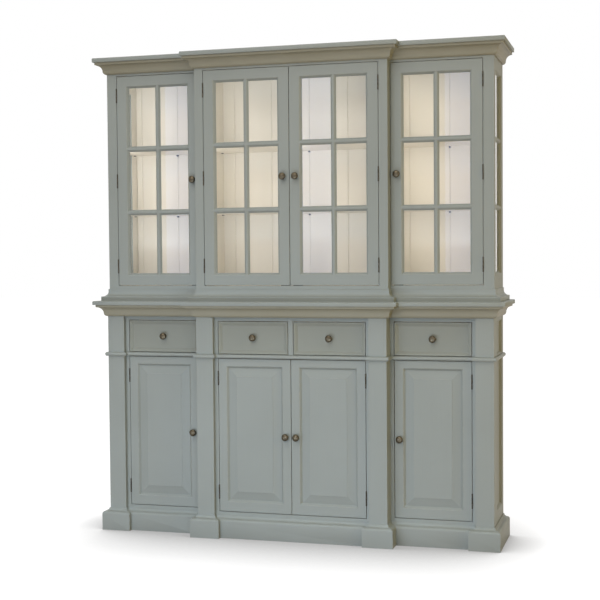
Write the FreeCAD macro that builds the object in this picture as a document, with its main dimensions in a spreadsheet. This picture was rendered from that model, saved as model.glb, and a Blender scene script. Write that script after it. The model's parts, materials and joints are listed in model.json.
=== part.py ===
# Breakfront display hutch: a glazed case on a cupboard base with drawers.
# Millimetres, X to the right, Y to the back, Z up, origin on the floor at the middle of the box.
import FreeCAD
import Part
import Sketcher
import math
import os

Vector = FreeCAD.Vector

# Driving dimensions, written to the sheet. Every other place and size is worked out from these.
SIZES = {
    # Plan of the two cases
    "case_width": 1800,
    "case_depth": 300,
    "break_depth": 52,
    "base_centre_width": 882,
    "hutch_centre_width": 892,
    # Board thicknesses
    "frame_thick": 20,
    "shelf_thick": 18,
    "floor_thick": 16,
    "back_panel_thick": 9,
    "back_board_thick": 12,
    # Base, from the floor up
    "plinth_face": 75,
    "plinth_round": 12,
    "plinth_cove": 13,
    "plinth_lip": 4,
    "bottom_rail": 16,
    "lower_door_height": 695,
    "waist_rail": 18,
    "drawer_height": 146,
    "frieze_rail": 17,
    "counter_thick": 18,
    "counter_overhang": 54,
    "counter_round": 5,
    # Base, across the front
    "pilaster_width": 80,
    "pilaster_proud": 22,
    "frame_reveal": 17,
    "drawer_divider": 22,
    "bead_height": 17,
    "bead_proud": 12,
    "bead_nose": 5,
    # Crown moulding, shared by the counter and the cornice
    "crown_round": 15,
    "crown_cove": 28,
    "crown_fillet": 11,
    # Glazed case, from the counter up
    "foot_fillet": 20,
    "foot_cove": 22,
    "foot_neck": 12,
    "foot_lip": 4,
    "foot_step": 4,
    "hutch_rail": 16,
    "upper_door_height": 969,
    "hutch_head": 9,
    "cap_thick": 19,
    "cap_overhang": 52,
    "cap_chamfer": 2,
    # Glazed case, across the front and ends
    "outer_stile": 47,
    "centre_stile": 40,
    "end_front_stile": 30,
    "end_rear_stile": 70,
    "centre_board_share": 0.417,
    "side_board_share": 0.43,
    "board_bevel": 3,
    # Doors
    "door_gap": 2.5,
    "glazed_stile": 55,
    "glazed_top_rail": 54,
    "glazed_bottom_rail": 55,
    "bar_width": 25,
    "bar_front": 9,
    "bar_set_back": 1,
    "sticking_bevel": 9,
    "sticking_depth": 10,
    "glass_thick": 3,
    "glass_rebate": 8,
    "glass_clearance": 0.5,
    "panel_stile": 47,
    "panel_top_rail": 42,
    "panel_bottom_rail": 53,
    "panel_groove": 8,
    "panel_tongue": 6,
    "panel_bevel": 37,
    "panel_field_set_back": 1,
    "panel_field_step": 1.5,
    # Framed ends of the base
    "base_end_front_stile": 58,
    "base_end_rear_stile": 60,
    "base_end_bottom_rail": 62,
    "base_end_middle_rail": 40,
    "base_end_top_rail": 78,
    # Drawers
    "drawer_field_depth": 9,
    "drawer_border": 18,
    "drawer_edge": 4,
    "drawer_side_inset": 6,
    "drawer_side_thick": 12,
    "drawer_side_drop": 16,
    "drawer_bottom_thick": 6,
    "drawer_bottom_rise": 8,
    "drawer_back_space": 30,
    "drawer_clearance": 0.3,
    "guide_clearance": 0.5,
    "runner_height": 22,
    "runner_cover": 20,
    "guide_height": 20,
    "guide_width": 24,
    # Shelves
    "shelf_front_gap": 4,
    "cleat": 18,
    "support_width": 10,
    "support_reach": 9,
    "support_thick": 3,
    "support_inset": 24,
    "peg_radius": 4,
    "peg_length": 14,
    # Hardware
    "hinge_length": 64,
    "hinge_inset": 88,
    "knuckle_radius": 3.2,
    "knuckle_gap": 0.2,
    "knuckle_play": 0.3,
    "hinge_pin_radius": 1.6,
    "hinge_pin_fit": 0.05,
    "leaf_thick": 1.1,
    "leaf_width": 16,
    "knob_radius": 16,
    "knob_head": 8,
    "knob_reach": 27,
    "knob_neck": 6.5,
    "knob_shoulder": 13,
    "knob_crown": 6.5,
    "knob_crown_drop": 2.5,
    "rosette_radius": 9,
    "rosette_thick": 2.5,
    "catch_length": 40,
    "catch_width": 14,
    "catch_height": 13,
    "catch_gap": 0.3,
}


class Size:
    """A length that carries its value in millimetres and the sheet expression that gives it."""

    def __init__(self, value, text):
        self.value = float(value)
        self.text = text

    def _join(self, other, sign, swap=False):
        other = other if isinstance(other, Size) else Size(other, repr(other))
        left, right = (other, self) if swap else (self, other)
        rules = {
            "+": lambda a, b: a + b,
            "-": lambda a, b: a - b,
            "*": lambda a, b: a * b,
            "/": lambda a, b: a / b,
        }
        return Size(rules[sign](left.value, right.value), f"({left.text} {sign} {right.text})")

    def __add__(self, other):
        return self._join(other, "+")

    def __radd__(self, other):
        return self._join(other, "+", swap=True)

    def __sub__(self, other):
        return self._join(other, "-")

    def __rsub__(self, other):
        return self._join(other, "-", swap=True)

    def __mul__(self, other):
        return self._join(other, "*")

    def __rmul__(self, other):
        return self._join(other, "*", swap=True)

    def __truediv__(self, other):
        return self._join(other, "/")

    def __neg__(self):
        return Size(-self.value, f"(0 - {self.text})")


doc = FreeCAD.newDocument("Hutch")
sheet = doc.addObject("Spreadsheet::Sheet", "Sizes")
for row, (alias, number) in enumerate(SIZES.items(), start=1):
    sheet.set(f"A{row}", alias)
    sheet.set(f"B{row}", str(number))
    sheet.setAlias(f"B{row}", alias)
doc.recompute()


def size(alias):
    """A driving dimension, read back from the sheet."""
    return Size(sheet.get(alias), f"Sizes.{alias}")


NOTHING = Size(0, "0")
NODES = []


def bind(piece, **places):
    """Bind properties of a piece to sheet expressions."""
    for name, length in places.items():
        piece.setExpression(name.replace("__", "."), length.text)
    return piece


def place(piece, x, y, z):
    """Bind where a piece stands."""
    return bind(piece, Placement__Base__x=x, Placement__Base__y=y, Placement__Base__z=z)


def block(name, x, y, z):
    """A rectangular board between two values on each axis."""
    piece = doc.addObject("Part::Box", name)
    bind(piece, Length=x[1] - x[0], Width=y[1] - y[0], Height=z[1] - z[0])
    return place(piece, x[0], y[0], z[0])


def taper(name, front, back, y):
    """A frustum whose front rectangle (x0, x1, z0, z1) changes to the back one between two depths."""
    piece = doc.addObject("Part::Wedge", name)
    bind(piece, Ymin=y[0], Ymax=y[1])
    bind(piece, Xmin=front[0], Xmax=front[1], Zmin=front[2], Zmax=front[3])
    bind(piece, X2min=back[0], X2max=back[1], Z2min=back[2], Z2max=back[3])
    return piece


def cut(name, base, tool):
    """One piece less another."""
    piece = doc.addObject("Part::Cut", name)
    piece.Base = base
    piece.Tool = tool
    return piece


def common(name, base, tool):
    """What two pieces share."""
    piece = doc.addObject("Part::Common", name)
    piece.Base = base
    piece.Tool = tool
    return piece


def fuse(name, pieces):
    """Several forms of one piece joined to one solid."""
    piece = doc.addObject("Part::MultiFuse", name)
    piece.Shapes = pieces
    return piece


def node(label, pieces, at=None):
    """A named sub-part made of separate solids, set down at a place."""
    group = doc.addObject("Part::Compound", label)
    group.Label = label
    group.Links = pieces
    if at:
        place(group, *at)
    NODES.append(group)
    return group


def shaped(name, shapes):
    """Solids worked out from the sheet's sizes."""
    piece = doc.addObject("Part::Feature", name)
    piece.Shape = Part.makeCompound(shapes)
    return piece


# Plan: half widths, and the depth of each front plane
half_case = size("case_width") / 2
half_base_centre = size("base_centre_width") / 2
half_hutch_centre = size("hutch_centre_width") / 2
thick = size("frame_thick")
gap = size("door_gap")
reach = size("pilaster_proud") + size("break_depth") + size("counter_overhang")
side_face = (reach - size("case_depth")) / 2
centre_face = side_face - size("break_depth")
back = side_face + size("case_depth")
side_pilaster_face = side_face - size("pilaster_proud")
centre_pilaster_face = centre_face - size("pilaster_proud")
side_inner = side_face + thick
centre_inner = centre_face + thick
end_inner = half_case - thick

# Levels of the base
plinth_top = size("plinth_face") + size("plinth_round") + size("plinth_cove")
bottom_rail_top = plinth_top + size("bottom_rail")
lower_door_foot = bottom_rail_top + gap
lower_door_head = lower_door_foot + size("lower_door_height")
waist_foot = lower_door_head + gap
waist_head = waist_foot + size("waist_rail")
drawer_foot = waist_head + gap
drawer_head = drawer_foot + size("drawer_height")
frieze_foot = drawer_head + gap
crown_proud = size("crown_round") + size("crown_cove")
crown_height = crown_proud + size("crown_fillet")
counter_crown_foot = frieze_foot + size("frieze_rail")
counter_foot = counter_crown_foot + crown_height
counter_top = counter_foot + size("counter_thick")

# Levels of the glazed case
foot_height = size("foot_fillet") + size("foot_cove") + size("foot_neck")
hutch_rail_top = counter_top + foot_height + size("hutch_rail")
upper_door_foot = hutch_rail_top + gap
upper_door_head = upper_door_foot + size("upper_door_height")
head_rail_foot = upper_door_head + gap
cornice_foot = head_rail_foot + size("hutch_head")
cap_foot = cornice_foot + crown_height

# Openings across the front
base_side_opening = (half_base_centre + size("frame_reveal"),
                     half_case - size("pilaster_width") - size("frame_reveal"))
base_centre_opening = half_base_centre - size("pilaster_width") - size("frame_reveal")
hutch_side_opening = (half_hutch_centre, half_case - size("outer_stile"))
hutch_centre_opening = half_hutch_centre - size("centre_stile")
base_wall = half_base_centre - thick
hutch_wall = half_hutch_centre - size("shelf_thick")


def mirrored(span):
    """The same span of X on the other side of the middle."""
    return (-span[1], -span[0])


def both_sides(name, x, y, z):
    """A pair of boards, left and right."""
    return [block(f"{name}_left", mirrored(x), y, z), block(f"{name}_right", x, y, z)]


# Mouldings: one profile carried along straight lengths that meet in mitres

def line(start, end):
    """A straight edge of a profile, from (out, up) to (out, up)."""
    return Part.LineSegment(Vector(start[0], 0, start[1]), Vector(end[0], 0, end[1])).toShape()


def arc(centre, radius, start_angle, end_angle):
    """A round edge of a profile about a centre, from one angle to another in degrees."""
    angles = [math.radians(start_angle + (end_angle - start_angle) * step / 2) for step in range(3)]
    points = [Vector(centre[0] + radius * math.cos(a), 0, centre[1] + radius * math.sin(a)) for a in angles]
    return Part.Arc(*points).toShape()


def crown_profile():
    """A cyma: a round at the foot, a cove above it and a square fillet at the head."""
    round_, cove = size("crown_round").value, size("crown_cove").value
    out, head = crown_proud.value, crown_height.value
    return [
        arc((0, round_), round_, 270, 360),
        arc((out, round_), cove, 180, 90),
        line((out, out), (out, head)),
        line((out, head), (0, head)),
        line((0, head), (0, 0)),
    ]


def foot_profile():
    """The glazed case's base moulding: a square fillet, then a cove up to the face frame."""
    fillet, cove, lip = size("foot_fillet").value, size("foot_cove").value, size("foot_lip").value
    ledge = lip + cove
    out = ledge + size("foot_step").value
    head = foot_height.value
    return [
        line((0, 0), (out, 0)),
        line((out, 0), (out, fillet)),
        line((out, fillet), (ledge, fillet)),
        arc((ledge, fillet + cove), cove, 270, 180),
        line((lip, fillet + cove), (lip, head)),
        line((lip, head), (0, head)),
        line((0, head), (0, 0)),
    ]


def plinth_profile():
    """The plinth: an upright face under an ogee of a round and a cove."""
    face, round_, cove = size("plinth_face").value, size("plinth_round").value, size("plinth_cove").value
    lip = size("plinth_lip").value
    turn = lip + cove
    out = turn + round_
    head = plinth_top.value
    return [
        line((0, 0), (out, 0)),
        line((out, 0), (out, face)),
        arc((turn, face), round_, 0, 90),
        arc((turn, head), cove, 270, 180),
        line((lip, head), (0, head)),
        line((0, head), (0, 0)),
    ]


def bead_profile():
    """A flat band with a rounded nose."""
    height, nose = size("bead_height").value, size("bead_nose").value
    out = size("bead_proud").value
    half, flat = height / 2, out - nose
    radius = (half ** 2 + nose ** 2) / (2 * nose)
    spread = math.degrees(math.asin(half / radius))
    return [
        line((0, 0), (flat, 0)),
        arc((out - radius, half), radius, -spread, spread),
        line((flat, height), (0, height)),
        line((0, height), (0, 0)),
    ]


def half_space(normal, beyond, span):
    """A large block whose face passes through the origin, on one side of it."""
    start = 0 if beyond else -span
    blank = Part.makeBox(2 * span, span, 2 * span, Vector(-span, start, -span))
    blank.rotate(Vector(0, 0, 0), Vector(0, 0, 1), math.degrees(math.atan2(-normal.x, normal.y)))
    return blank


def mitred_lengths(profile, path, foot):
    """Straight lengths of one profile along a plan path, with mitred corners."""
    points = [Vector(x.value, y.value, 0) for x, y in path]
    ways = [(b - a).normalize() for a, b in zip(points, points[1:])]
    face = Part.Face(Part.Wire(Part.__sortEdges__(profile)))
    spare = face.BoundBox.XMax + 1
    lengths = []
    for index, way in enumerate(ways):
        out = Vector(way.y, -way.x, 0)
        run = (points[index + 1] - points[index]).Length
        before = ways[index - 1] if index > 0 else way
        after = ways[index + 1] if index + 1 < len(ways) else way
        blank = face.copy()
        blank.translate(Vector(0, -spare, 0))
        blank = blank.extrude(Vector(0, run + 2 * spare, 0))
        span = run + 4 * spare + face.BoundBox.ZMax
        start = before + way
        start_mitre = half_space(Vector(start.dot(out), start.dot(way), 0), False, span)
        end = way + after
        end_mitre = half_space(Vector(end.dot(out), end.dot(way), 0), True, span)
        end_mitre.translate(Vector(0, run, 0))
        length = blank.cut([start_mitre, end_mitre]).Solids[0]
        turn = math.degrees(math.atan2(out.y, out.x))
        length.rotate(Vector(0, 0, 0), Vector(0, 0, 1), turn)
        length.translate(points[index] + Vector(0, 0, foot.value))
        lengths.append(length)
    return lengths


def moulding(label, profile, path, foot):
    """A sub-part made of the mitred lengths of one moulding."""
    node(label, [shaped(f"{label}_lengths", mitred_lengths(profile, path, foot))])


def whole_path(left_half):
    """A plan path with its mirror image, from the back of the left end to the back of the right."""
    return left_half + [(-x, y) for x, y in reversed(left_half)]


hutch_path = whole_path([
    (-half_case, back),
    (-half_case, side_face),
    (-half_hutch_centre, side_face),
    (-half_hutch_centre, centre_face),
])
counter_path = whole_path([
    (-half_case, back),
    (-half_case, side_pilaster_face),
    (-half_base_centre, side_pilaster_face),
    (-half_base_centre, centre_pilaster_face),
])
pilaster_path = whole_path([
    (-half_case, back),
    (-half_case, side_pilaster_face),
    (size("pilaster_width") - half_case, side_pilaster_face),
    (size("pilaster_width") - half_case, side_face),
    (-half_base_centre, side_face),
    (-half_base_centre, centre_pilaster_face),
    (size("pilaster_width") - half_base_centre, centre_pilaster_face),
    (size("pilaster_width") - half_base_centre, centre_face),
])


# Slabs: the counter and the top of the glazed case

def slab(label, half_width, half_centre, side_front, centre_front, depth, foot, easing):
    """A breakfront slab, padded from its outline, with its upper front and end edges eased."""
    body = doc.addObject("PartDesign::Body", label)
    body.Label = label
    sketch = body.newObject("Sketcher::SketchObject", f"{label}_outline")
    plane = next(item for item in body.Origin.OriginFeatures if item.Role == "XY_Plane")
    sketch.AttachmentSupport = [(plane, "")]
    sketch.MapMode = "FlatFace"
    left = [(-half_width, back), (-half_width, side_front), (-half_centre, side_front),
            (-half_centre, centre_front)]
    outline = whole_path(left)
    corners = [Vector(x.value, y.value, 0) for x, y in outline]
    for index, corner in enumerate(corners):
        sketch.addGeometry(Part.LineSegment(corner, corners[(index + 1) % len(corners)]))
    for index in range(len(corners)):
        sketch.addConstraint(Sketcher.Constraint("Coincident", index, 2, (index + 1) % len(corners), 1))
    for index, (x, y) in enumerate(outline):
        for kind, length in (("DistanceX", x), ("DistanceY", y)):
            ends = (-1, 1, index, 1) if length.value > 0 else (index, 1, -1, 1)
            number = sketch.addConstraint(Sketcher.Constraint(kind, *ends, abs(length.value)))
            positive = length if length.value > 0 else -length
            sketch.setExpression(f"Constraints[{number}]", positive.text)
    pad = body.newObject("PartDesign::Pad", f"{label}_pad")
    pad.Profile = sketch
    bind(pad, Length=depth)
    doc.recompute()
    top = [f"Edge{number}" for number, edge_ in enumerate(pad.Shape.Edges, start=1)
           if edge_.BoundBox.ZMin > depth.value / 2 and edge_.BoundBox.YMin < back.value - 1]
    kind, property_name, length = easing
    eased = body.newObject(f"PartDesign::{kind}", f"{label}_eased")
    eased.Base = (pad, top)
    bind(eased, **{property_name: length})
    place(body, NOTHING, NOTHING, foot)
    NODES.append(body)
    return body


# Framed leaves: doors and ends, drawn flat with X across, Y into the thickness and Z up

class Leaf:
    """A frame of stiles and rails round one opening or several, one above another."""

    def __init__(self, name, width, height, stiles, rails):
        self.name = name
        self.width = width
        self.height = height
        self.stiles = stiles
        self.rails = rails
        self.sight = (stiles[0], width - stiles[1])
        self.openings = [(below[1], above[0]) for below, above in zip(rails, rails[1:])]
        self.plate = None

    def inset(self, opening, margin):
        """The rectangle of an opening, grown by a margin."""
        return (self.sight[0] - margin, self.sight[1] + margin, opening[0] - margin, opening[1] + margin)

    def members(self, recess):
        """Stiles and rails cut from one plate, bevelled towards each opening and recessed behind it."""
        bevel, depth = size("sticking_bevel"), size("sticking_depth")
        plate = block(f"{self.name}_plate", (NOTHING, self.width), (NOTHING, thick), (NOTHING, self.height))
        tools = []
        for number, opening in enumerate(self.openings):
            name = f"{self.name}_opening_{number}"
            sight = self.inset(opening, NOTHING)
            tools.append(taper(f"{name}_bevel", self.inset(opening, bevel), sight, (NOTHING, depth)))
            tools += recess(name, self, opening)
        tool = fuse(f"{self.name}_openings", tools)
        self.plate = cut(f"{self.name}_frame_plate", plate, tool)
        across = [(NOTHING, self.sight[0]), (self.sight[1], self.width)]
        spans = [(x, (NOTHING, self.height)) for x in across]
        spans += [(self.sight, rail) for rail in self.rails]
        pieces = []
        for number, (x, z) in enumerate(spans):
            limit = block(f"{self.name}_limit_{number}", x, (NOTHING, thick), z)
            pieces.append(common(f"{self.name}_member_{number}", self.plate, limit))
        return pieces


def glazing_recess(name, leaf, opening):
    """The rebate behind a glazed opening, open to the back."""
    edge = leaf.inset(opening, size("glass_rebate"))
    return [block(f"{name}_rebate", edge[:2], (size("sticking_depth"), thick), edge[2:])]


def panel_recess(name, leaf, opening):
    """The groove that a panel's tongue fits, and the opening behind it."""
    depth = size("sticking_depth")
    edge = leaf.inset(opening, size("panel_groove"))
    sight = leaf.inset(opening, NOTHING)
    groove = (depth, depth + size("panel_tongue"))
    return [
        block(f"{name}_groove", edge[:2], groove, edge[2:]),
        block(f"{name}_through", sight[:2], (groove[1], thick), sight[2:]),
    ]


def glazing(leaf, columns, rows):
    """Bevelled bars over one sheet of glass, with the beads that hold it: (bars and beads, glass)."""
    depth, rebate = size("sticking_depth"), size("glass_rebate")
    glass_back = depth + size("glass_thick")
    opening = leaf.openings[0]
    x0, x1 = leaf.sight
    z0, z1 = opening
    spare = size("sticking_bevel")
    wide, narrow = size("bar_width") / 2, size("bar_front") / 2
    layers = (size("bar_set_back"), depth)
    uprights = []
    for number in range(1, columns):
        middle = x0 + (x1 - x0) * number / columns
        uprights.append(taper(
            f"{leaf.name}_upright_{number}",
            (middle - narrow, middle + narrow, z0 - spare, z1 + spare),
            (middle - wide, middle + wide, z0 - spare, z1 + spare),
            layers,
        ))
    pane = (z1 - z0 - size("bar_width") * (rows - 1)) / rows
    trimmed = [cut(f"{upright.Name}_bar", upright, leaf.plate) for upright in uprights]
    solid = fuse(f"{leaf.name}_stops", uprights + [leaf.plate]) if uprights else leaf.plate
    for number in range(1, rows):
        middle = z0 + pane * number + size("bar_width") * (number - 0.5)
        crossbar = taper(
            f"{leaf.name}_crossbar_{number}",
            (x0 - spare, x1 + spare, middle - narrow, middle + narrow),
            (x0 - spare, x1 + spare, middle - wide, middle + wide),
            layers,
        )
        trimmed.append(cut(f"{crossbar.Name}_bar", crossbar, solid))
    edge = leaf.inset(opening, rebate)
    bead_depth = (glass_back, thick)
    beads = [
        block(f"{leaf.name}_bead_left", (edge[0], x0), bead_depth, edge[2:]),
        block(f"{leaf.name}_bead_right", (x1, edge[1]), bead_depth, edge[2:]),
        block(f"{leaf.name}_bead_foot", (x0, x1), bead_depth, (edge[2], z0)),
        block(f"{leaf.name}_bead_head", (x0, x1), bead_depth, (z1, edge[3])),
    ]
    sheet_edge = leaf.inset(opening, rebate - size("glass_clearance"))
    glass = block(f"{leaf.name}_sheet", sheet_edge[:2], (depth, glass_back), sheet_edge[2:])
    return trimmed + beads, glass


def raised_panel(leaf):
    """A panel whose tongue sits in the frame's groove, with a bevelled margin and a raised field."""
    depth = size("sticking_depth")
    opening = leaf.openings[0]
    edge = leaf.inset(opening, size("panel_groove"))
    sight = leaf.inset(opening, NOTHING)
    field = leaf.inset(opening, -size("panel_bevel"))
    front = size("panel_field_set_back")
    step = front + size("panel_field_step")
    return fuse(f"{leaf.name}_raised", [
        block(f"{leaf.name}_tongue", edge[:2], (depth, depth + size("panel_tongue")), edge[2:]),
        taper(f"{leaf.name}_margin", field, sight, (step, depth)),
        block(f"{leaf.name}_field", field[:2], (front, step), field[2:]),
    ])


def flat_panels(leaf):
    """A flat panel in each opening, held in the frame's groove."""
    depth = size("sticking_depth")
    panels = []
    for number, opening in enumerate(leaf.openings):
        edge = leaf.inset(opening, size("panel_groove"))
        layer = (depth, depth + size("panel_tongue"))
        panels.append(block(f"{leaf.name}_panel_{number}", edge[:2], layer, edge[2:]))
    return panels


# Hardware: small round parts are prisms of few sides, because they repeat

KNOB_SIDES = 8
BARREL_SIDES = 6
PEG_SIDES = 8


def polygon(radius, height, sides):
    """A closed ring of corners about the Z axis."""
    turns = [2 * math.pi * side / sides for side in range(sides)]
    ring = [Vector(radius * math.cos(turn), radius * math.sin(turn), height) for turn in turns]
    return ring + ring[:1]


def knob(name, x, y, z):
    """A knob on a rosette: a neck under a domed head, its axis towards the front."""
    radius, head, reach_ = size("knob_radius"), size("knob_head"), size("knob_reach")
    rosette, plate = size("rosette_radius"), size("rosette_thick")
    outline = [
        (rosette, NOTHING),
        (rosette, plate),
        (size("knob_neck"), plate * 2),
        (size("knob_neck"), reach_ - head * 2),
        (radius, reach_ - head),
        (size("knob_shoulder"), reach_ - size("knob_crown_drop")),
        (size("knob_crown"), reach_),
    ]
    rings = [polygon(across.value, height.value, KNOB_SIDES) for across, height in outline]
    faces = [Part.Face(Part.makePolygon(rings[0])), Part.Face(Part.makePolygon(rings[-1]))]
    for low, high in zip(rings, rings[1:]):
        for side in range(KNOB_SIDES):
            corners = [low[side], low[side + 1], high[side + 1], high[side], low[side]]
            faces.append(Part.Face(Part.makePolygon(corners)))
    whole = shaped(name, [Part.makeSolid(Part.makeShell(faces))])
    whole.Placement.Rotation = FreeCAD.Rotation(Vector(1, 0, 0), 90)
    return place(whole, x, y, z)


axis_proud = size("knuckle_radius") + size("knuckle_gap")


def hinge_halves():
    """A butt hinge about the Z axis, frame to the left: the frame half with its pin, and the door half."""
    length, radius = size("hinge_length").value, size("knuckle_radius").value
    leaf, half_gap = size("leaf_thick").value, gap.value / 2
    proud = axis_proud.value
    play = size("knuckle_play").value
    third = length / 3
    pin_radius = size("hinge_pin_radius").value
    lower, upper = third - play / 2, 2 * third + play / 2

    def plate(x, start, end, foot, head):
        """Part of a leaf, between two depths and two heights."""
        return Part.makeBox(leaf, end - start, head - foot, Vector(x, start, foot))

    def barrel(barrel_radius, foot, head):
        """A prism on the hinge's axis."""
        ring = polygon(barrel_radius, foot, BARREL_SIDES)
        return Part.Face(Part.makePolygon(ring)).extrude(Vector(0, 0, head - foot))

    depth = proud + size("leaf_width").value
    frame_side = plate(-half_gap, proud, depth, 0, length).fuse([
        plate(-half_gap, 0, proud, 0, lower),
        plate(-half_gap, 0, proud, upper, length),
        barrel(radius, 0, lower),
        barrel(radius, upper, length),
        barrel(pin_radius, lower, upper),
    ]).removeSplitter()
    knuckle = barrel(radius, lower + play, upper - play)
    neck = plate(half_gap - leaf, 0, proud, lower + play, upper - play)
    bore_flat = pin_radius + size("hinge_pin_fit").value
    bore = barrel(bore_flat / math.cos(math.pi / BARREL_SIDES), 0, length)
    door_side = plate(half_gap - leaf, proud, depth, 0, length).fuse([knuckle, neck]).cut(bore)
    return frame_side.Solids[0], door_side.removeSplitter().Solids[0]


def hinge_set(x, face, levels, right_hand):
    """The hinges of one door at its axis: the frame halves and the door halves, in place."""
    halves = hinge_halves()
    placed = ([], [])
    for level in levels:
        for group, half in zip(placed, halves):
            shape = half.mirror(Vector(0, 0, 0), Vector(1, 0, 0)) if right_hand else half.copy()
            shape.translate(Vector(x.value, (face - axis_proud).value, level.value))
            group.append(shape)
    return placed


FRAME_HALVES = []


class Door:
    """Where a door hangs: its span of X, its face, its levels and the side that its hinges are on."""

    def __init__(self, name, x, face, foot, height, right_hand, hinge_count):
        self.name = name
        self.x = x
        self.face = face
        self.foot = foot
        self.height = height
        self.right_hand = right_hand
        self.hinge_count = hinge_count
        self.width = x[1] - x[0]
        self.at = (x[0], face, foot)

    def fittings(self, free_stile):
        """The knob on the free stile and the door halves of the hinges."""
        middle = self.foot + self.height / 2
        knob_x = self.x[0] + free_stile / 2 if self.right_hand else self.x[1] - free_stile / 2
        handle = knob(f"{self.name}_knob", knob_x, self.face, middle)
        axis_x = self.x[1] + gap / 2 if self.right_hand else self.x[0] - gap / 2
        inset, half = size("hinge_inset"), size("hinge_length") / 2
        levels = [self.foot + inset - half, self.foot + self.height - inset - half]
        if self.hinge_count == 3:
            levels.append(middle - half)
        frame_halves, door_halves = hinge_set(axis_x, self.face, levels, self.right_hand)
        FRAME_HALVES.extend(frame_halves)
        node(f"{self.name}_fittings", [handle, shaped(f"{self.name}_hinge_halves", door_halves)])


def quartet(side, centre):
    """The four places across the front: name, span of X, face of the front, hinges on the right."""
    return [
        ("left", mirrored(side), side_face, False),
        ("centre_left", mirrored(centre), centre_face, False),
        ("centre_right", centre, centre_face, True),
        ("right", side, side_face, True),
    ]


def inside(span):
    """A span drawn in by the door gap at both ends."""
    return (span[0] + gap, span[1] - gap)


def upper_doors():
    """Four glazed doors, two panes across and three up."""
    centre = (gap / 2, hutch_centre_opening - gap)
    stile, height = size("glazed_stile"), size("upper_door_height")
    rails = [(NOTHING, size("glazed_bottom_rail")), (height - size("glazed_top_rail"), height)]
    for place_name, x, face, right_hand in quartet(inside(hutch_side_opening), centre):
        door = Door(f"upper_door_{place_name}", x, face, upper_door_foot, height, right_hand, 3)
        leaf = Leaf(door.name, door.width, height, (stile, stile), rails)
        members = leaf.members(glazing_recess)
        bars, glass = glazing(leaf, 2, 3)
        node(f"{door.name}_frame", members + bars, door.at)
        node(f"{door.name}_glass", [glass], door.at)
        door.fittings(stile)


def lower_doors():
    """Four cupboard doors with raised panels."""
    centre = (gap / 2, base_centre_opening - gap)
    stile, height = size("panel_stile"), size("lower_door_height")
    rails = [(NOTHING, size("panel_bottom_rail")), (height - size("panel_top_rail"), height)]
    for place_name, x, face, right_hand in quartet(inside(base_side_opening), centre):
        door = Door(f"lower_door_{place_name}", x, face, lower_door_foot, height, right_hand, 2)
        leaf = Leaf(door.name, door.width, height, (stile, stile), rails)
        node(f"{door.name}_frame", leaf.members(panel_recess), door.at)
        node(f"{door.name}_panel", [raised_panel(leaf)], door.at)
        door.fittings(stile)


def drawer_box_span(x):
    """The outer span of a drawer's box behind its front."""
    return (x[0] + size("drawer_side_inset"), x[1] - size("drawer_side_inset"))


def drawers():
    """Four drawers: a front with a sunk field, a box of plain boards and a knob."""
    divider = size("drawer_divider") / 2
    centre = inside((divider, base_centre_opening))
    height, side = size("drawer_height"), size("drawer_side_thick")
    rise = size("drawer_bottom_rise")
    floor = (rise, rise + size("drawer_bottom_thick"))
    rim = (NOTHING, height - size("drawer_side_drop"))
    for place_name, x, face, _ in quartet(inside(base_side_opening), centre):
        name = f"drawer_{place_name}"
        width = x[1] - x[0]
        edge, border = size("drawer_edge"), size("drawer_border")
        blank = block(f"{name}_blank", (NOTHING, width), (NOTHING, thick), (NOTHING, height))
        sunk = taper(
            f"{name}_sunk",
            (edge, width - edge, edge, height - edge),
            (border, width - border, border, height - border),
            (NOTHING, size("drawer_field_depth")),
        )
        at = (x[0], face, drawer_foot)
        node(f"{name}_front", [cut(f"{name}_fielded", blank, sunk)], at)
        span = drawer_box_span((NOTHING, width))
        rear = back - size("back_panel_thick") - size("drawer_back_space") - face
        inner = (span[0] + side, span[1] - side)
        node(f"{name}_box", [
            block(f"{name}_side_left", (span[0], inner[0]), (thick, rear), rim),
            block(f"{name}_side_right", (inner[1], span[1]), (thick, rear), rim),
            block(f"{name}_back", inner, (rear - side, rear), rim),
            block(f"{name}_bottom", inner, (thick, rear - side), floor),
        ], at)
        seat = face + size("drawer_field_depth")
        handle = knob(f"{name}_handle", (x[0] + x[1]) / 2, seat, drawer_foot + height / 2)
        node(f"{name}_knob", [handle])


# Fixed pieces of the base

def base_plinth():
    """Mitred plinth lengths, the blocks behind them under the pilasters, and the frame of boards."""
    level = (NOTHING, plinth_top)
    wide = size("pilaster_width")
    boards = both_sides("plinth_block_outer", (half_case - wide, half_case),
                        (side_pilaster_face, side_face), level)
    boards += both_sides("plinth_block_inner", (half_base_centre - wide, half_base_centre),
                         (centre_pilaster_face, centre_face), level)
    boards += both_sides("plinth_front_side", (half_base_centre, half_case), (side_face, side_inner), level)
    boards += both_sides("plinth_end", (end_inner, half_case), (side_inner, back), level)
    boards += both_sides("plinth_bearer", (base_wall, half_base_centre), (centre_inner, back - thick), level)
    boards.append(block("plinth_front_centre", (-half_base_centre, half_base_centre),
                        (centre_face, centre_inner), level))
    boards.append(block("plinth_rear", (-end_inner, end_inner), (back - thick, back), level))
    lengths = mitred_lengths(plinth_profile(), pilaster_path, NOTHING)
    node("base_plinth", boards + [shaped("plinth_lengths", lengths)])


def base_boards():
    """Floors and partitions of the base, and its back."""
    rear = back - size("back_panel_thick")
    floor = (plinth_top, plinth_top + size("floor_thick"))
    boards = both_sides("base_floor", (half_base_centre, end_inner), (side_inner, rear), floor)
    boards.append(block("base_floor_centre", (-base_wall, base_wall), (centre_inner, rear), floor))
    boards += both_sides("base_partition", (base_wall, half_base_centre), (centre_inner, rear),
                         (plinth_top, counter_foot))
    node("base_carcass_boards", boards)
    panel = block("base_back_panel", (-end_inner, end_inner), (rear, back), (plinth_top, counter_foot))
    node("base_back", [panel])


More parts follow.
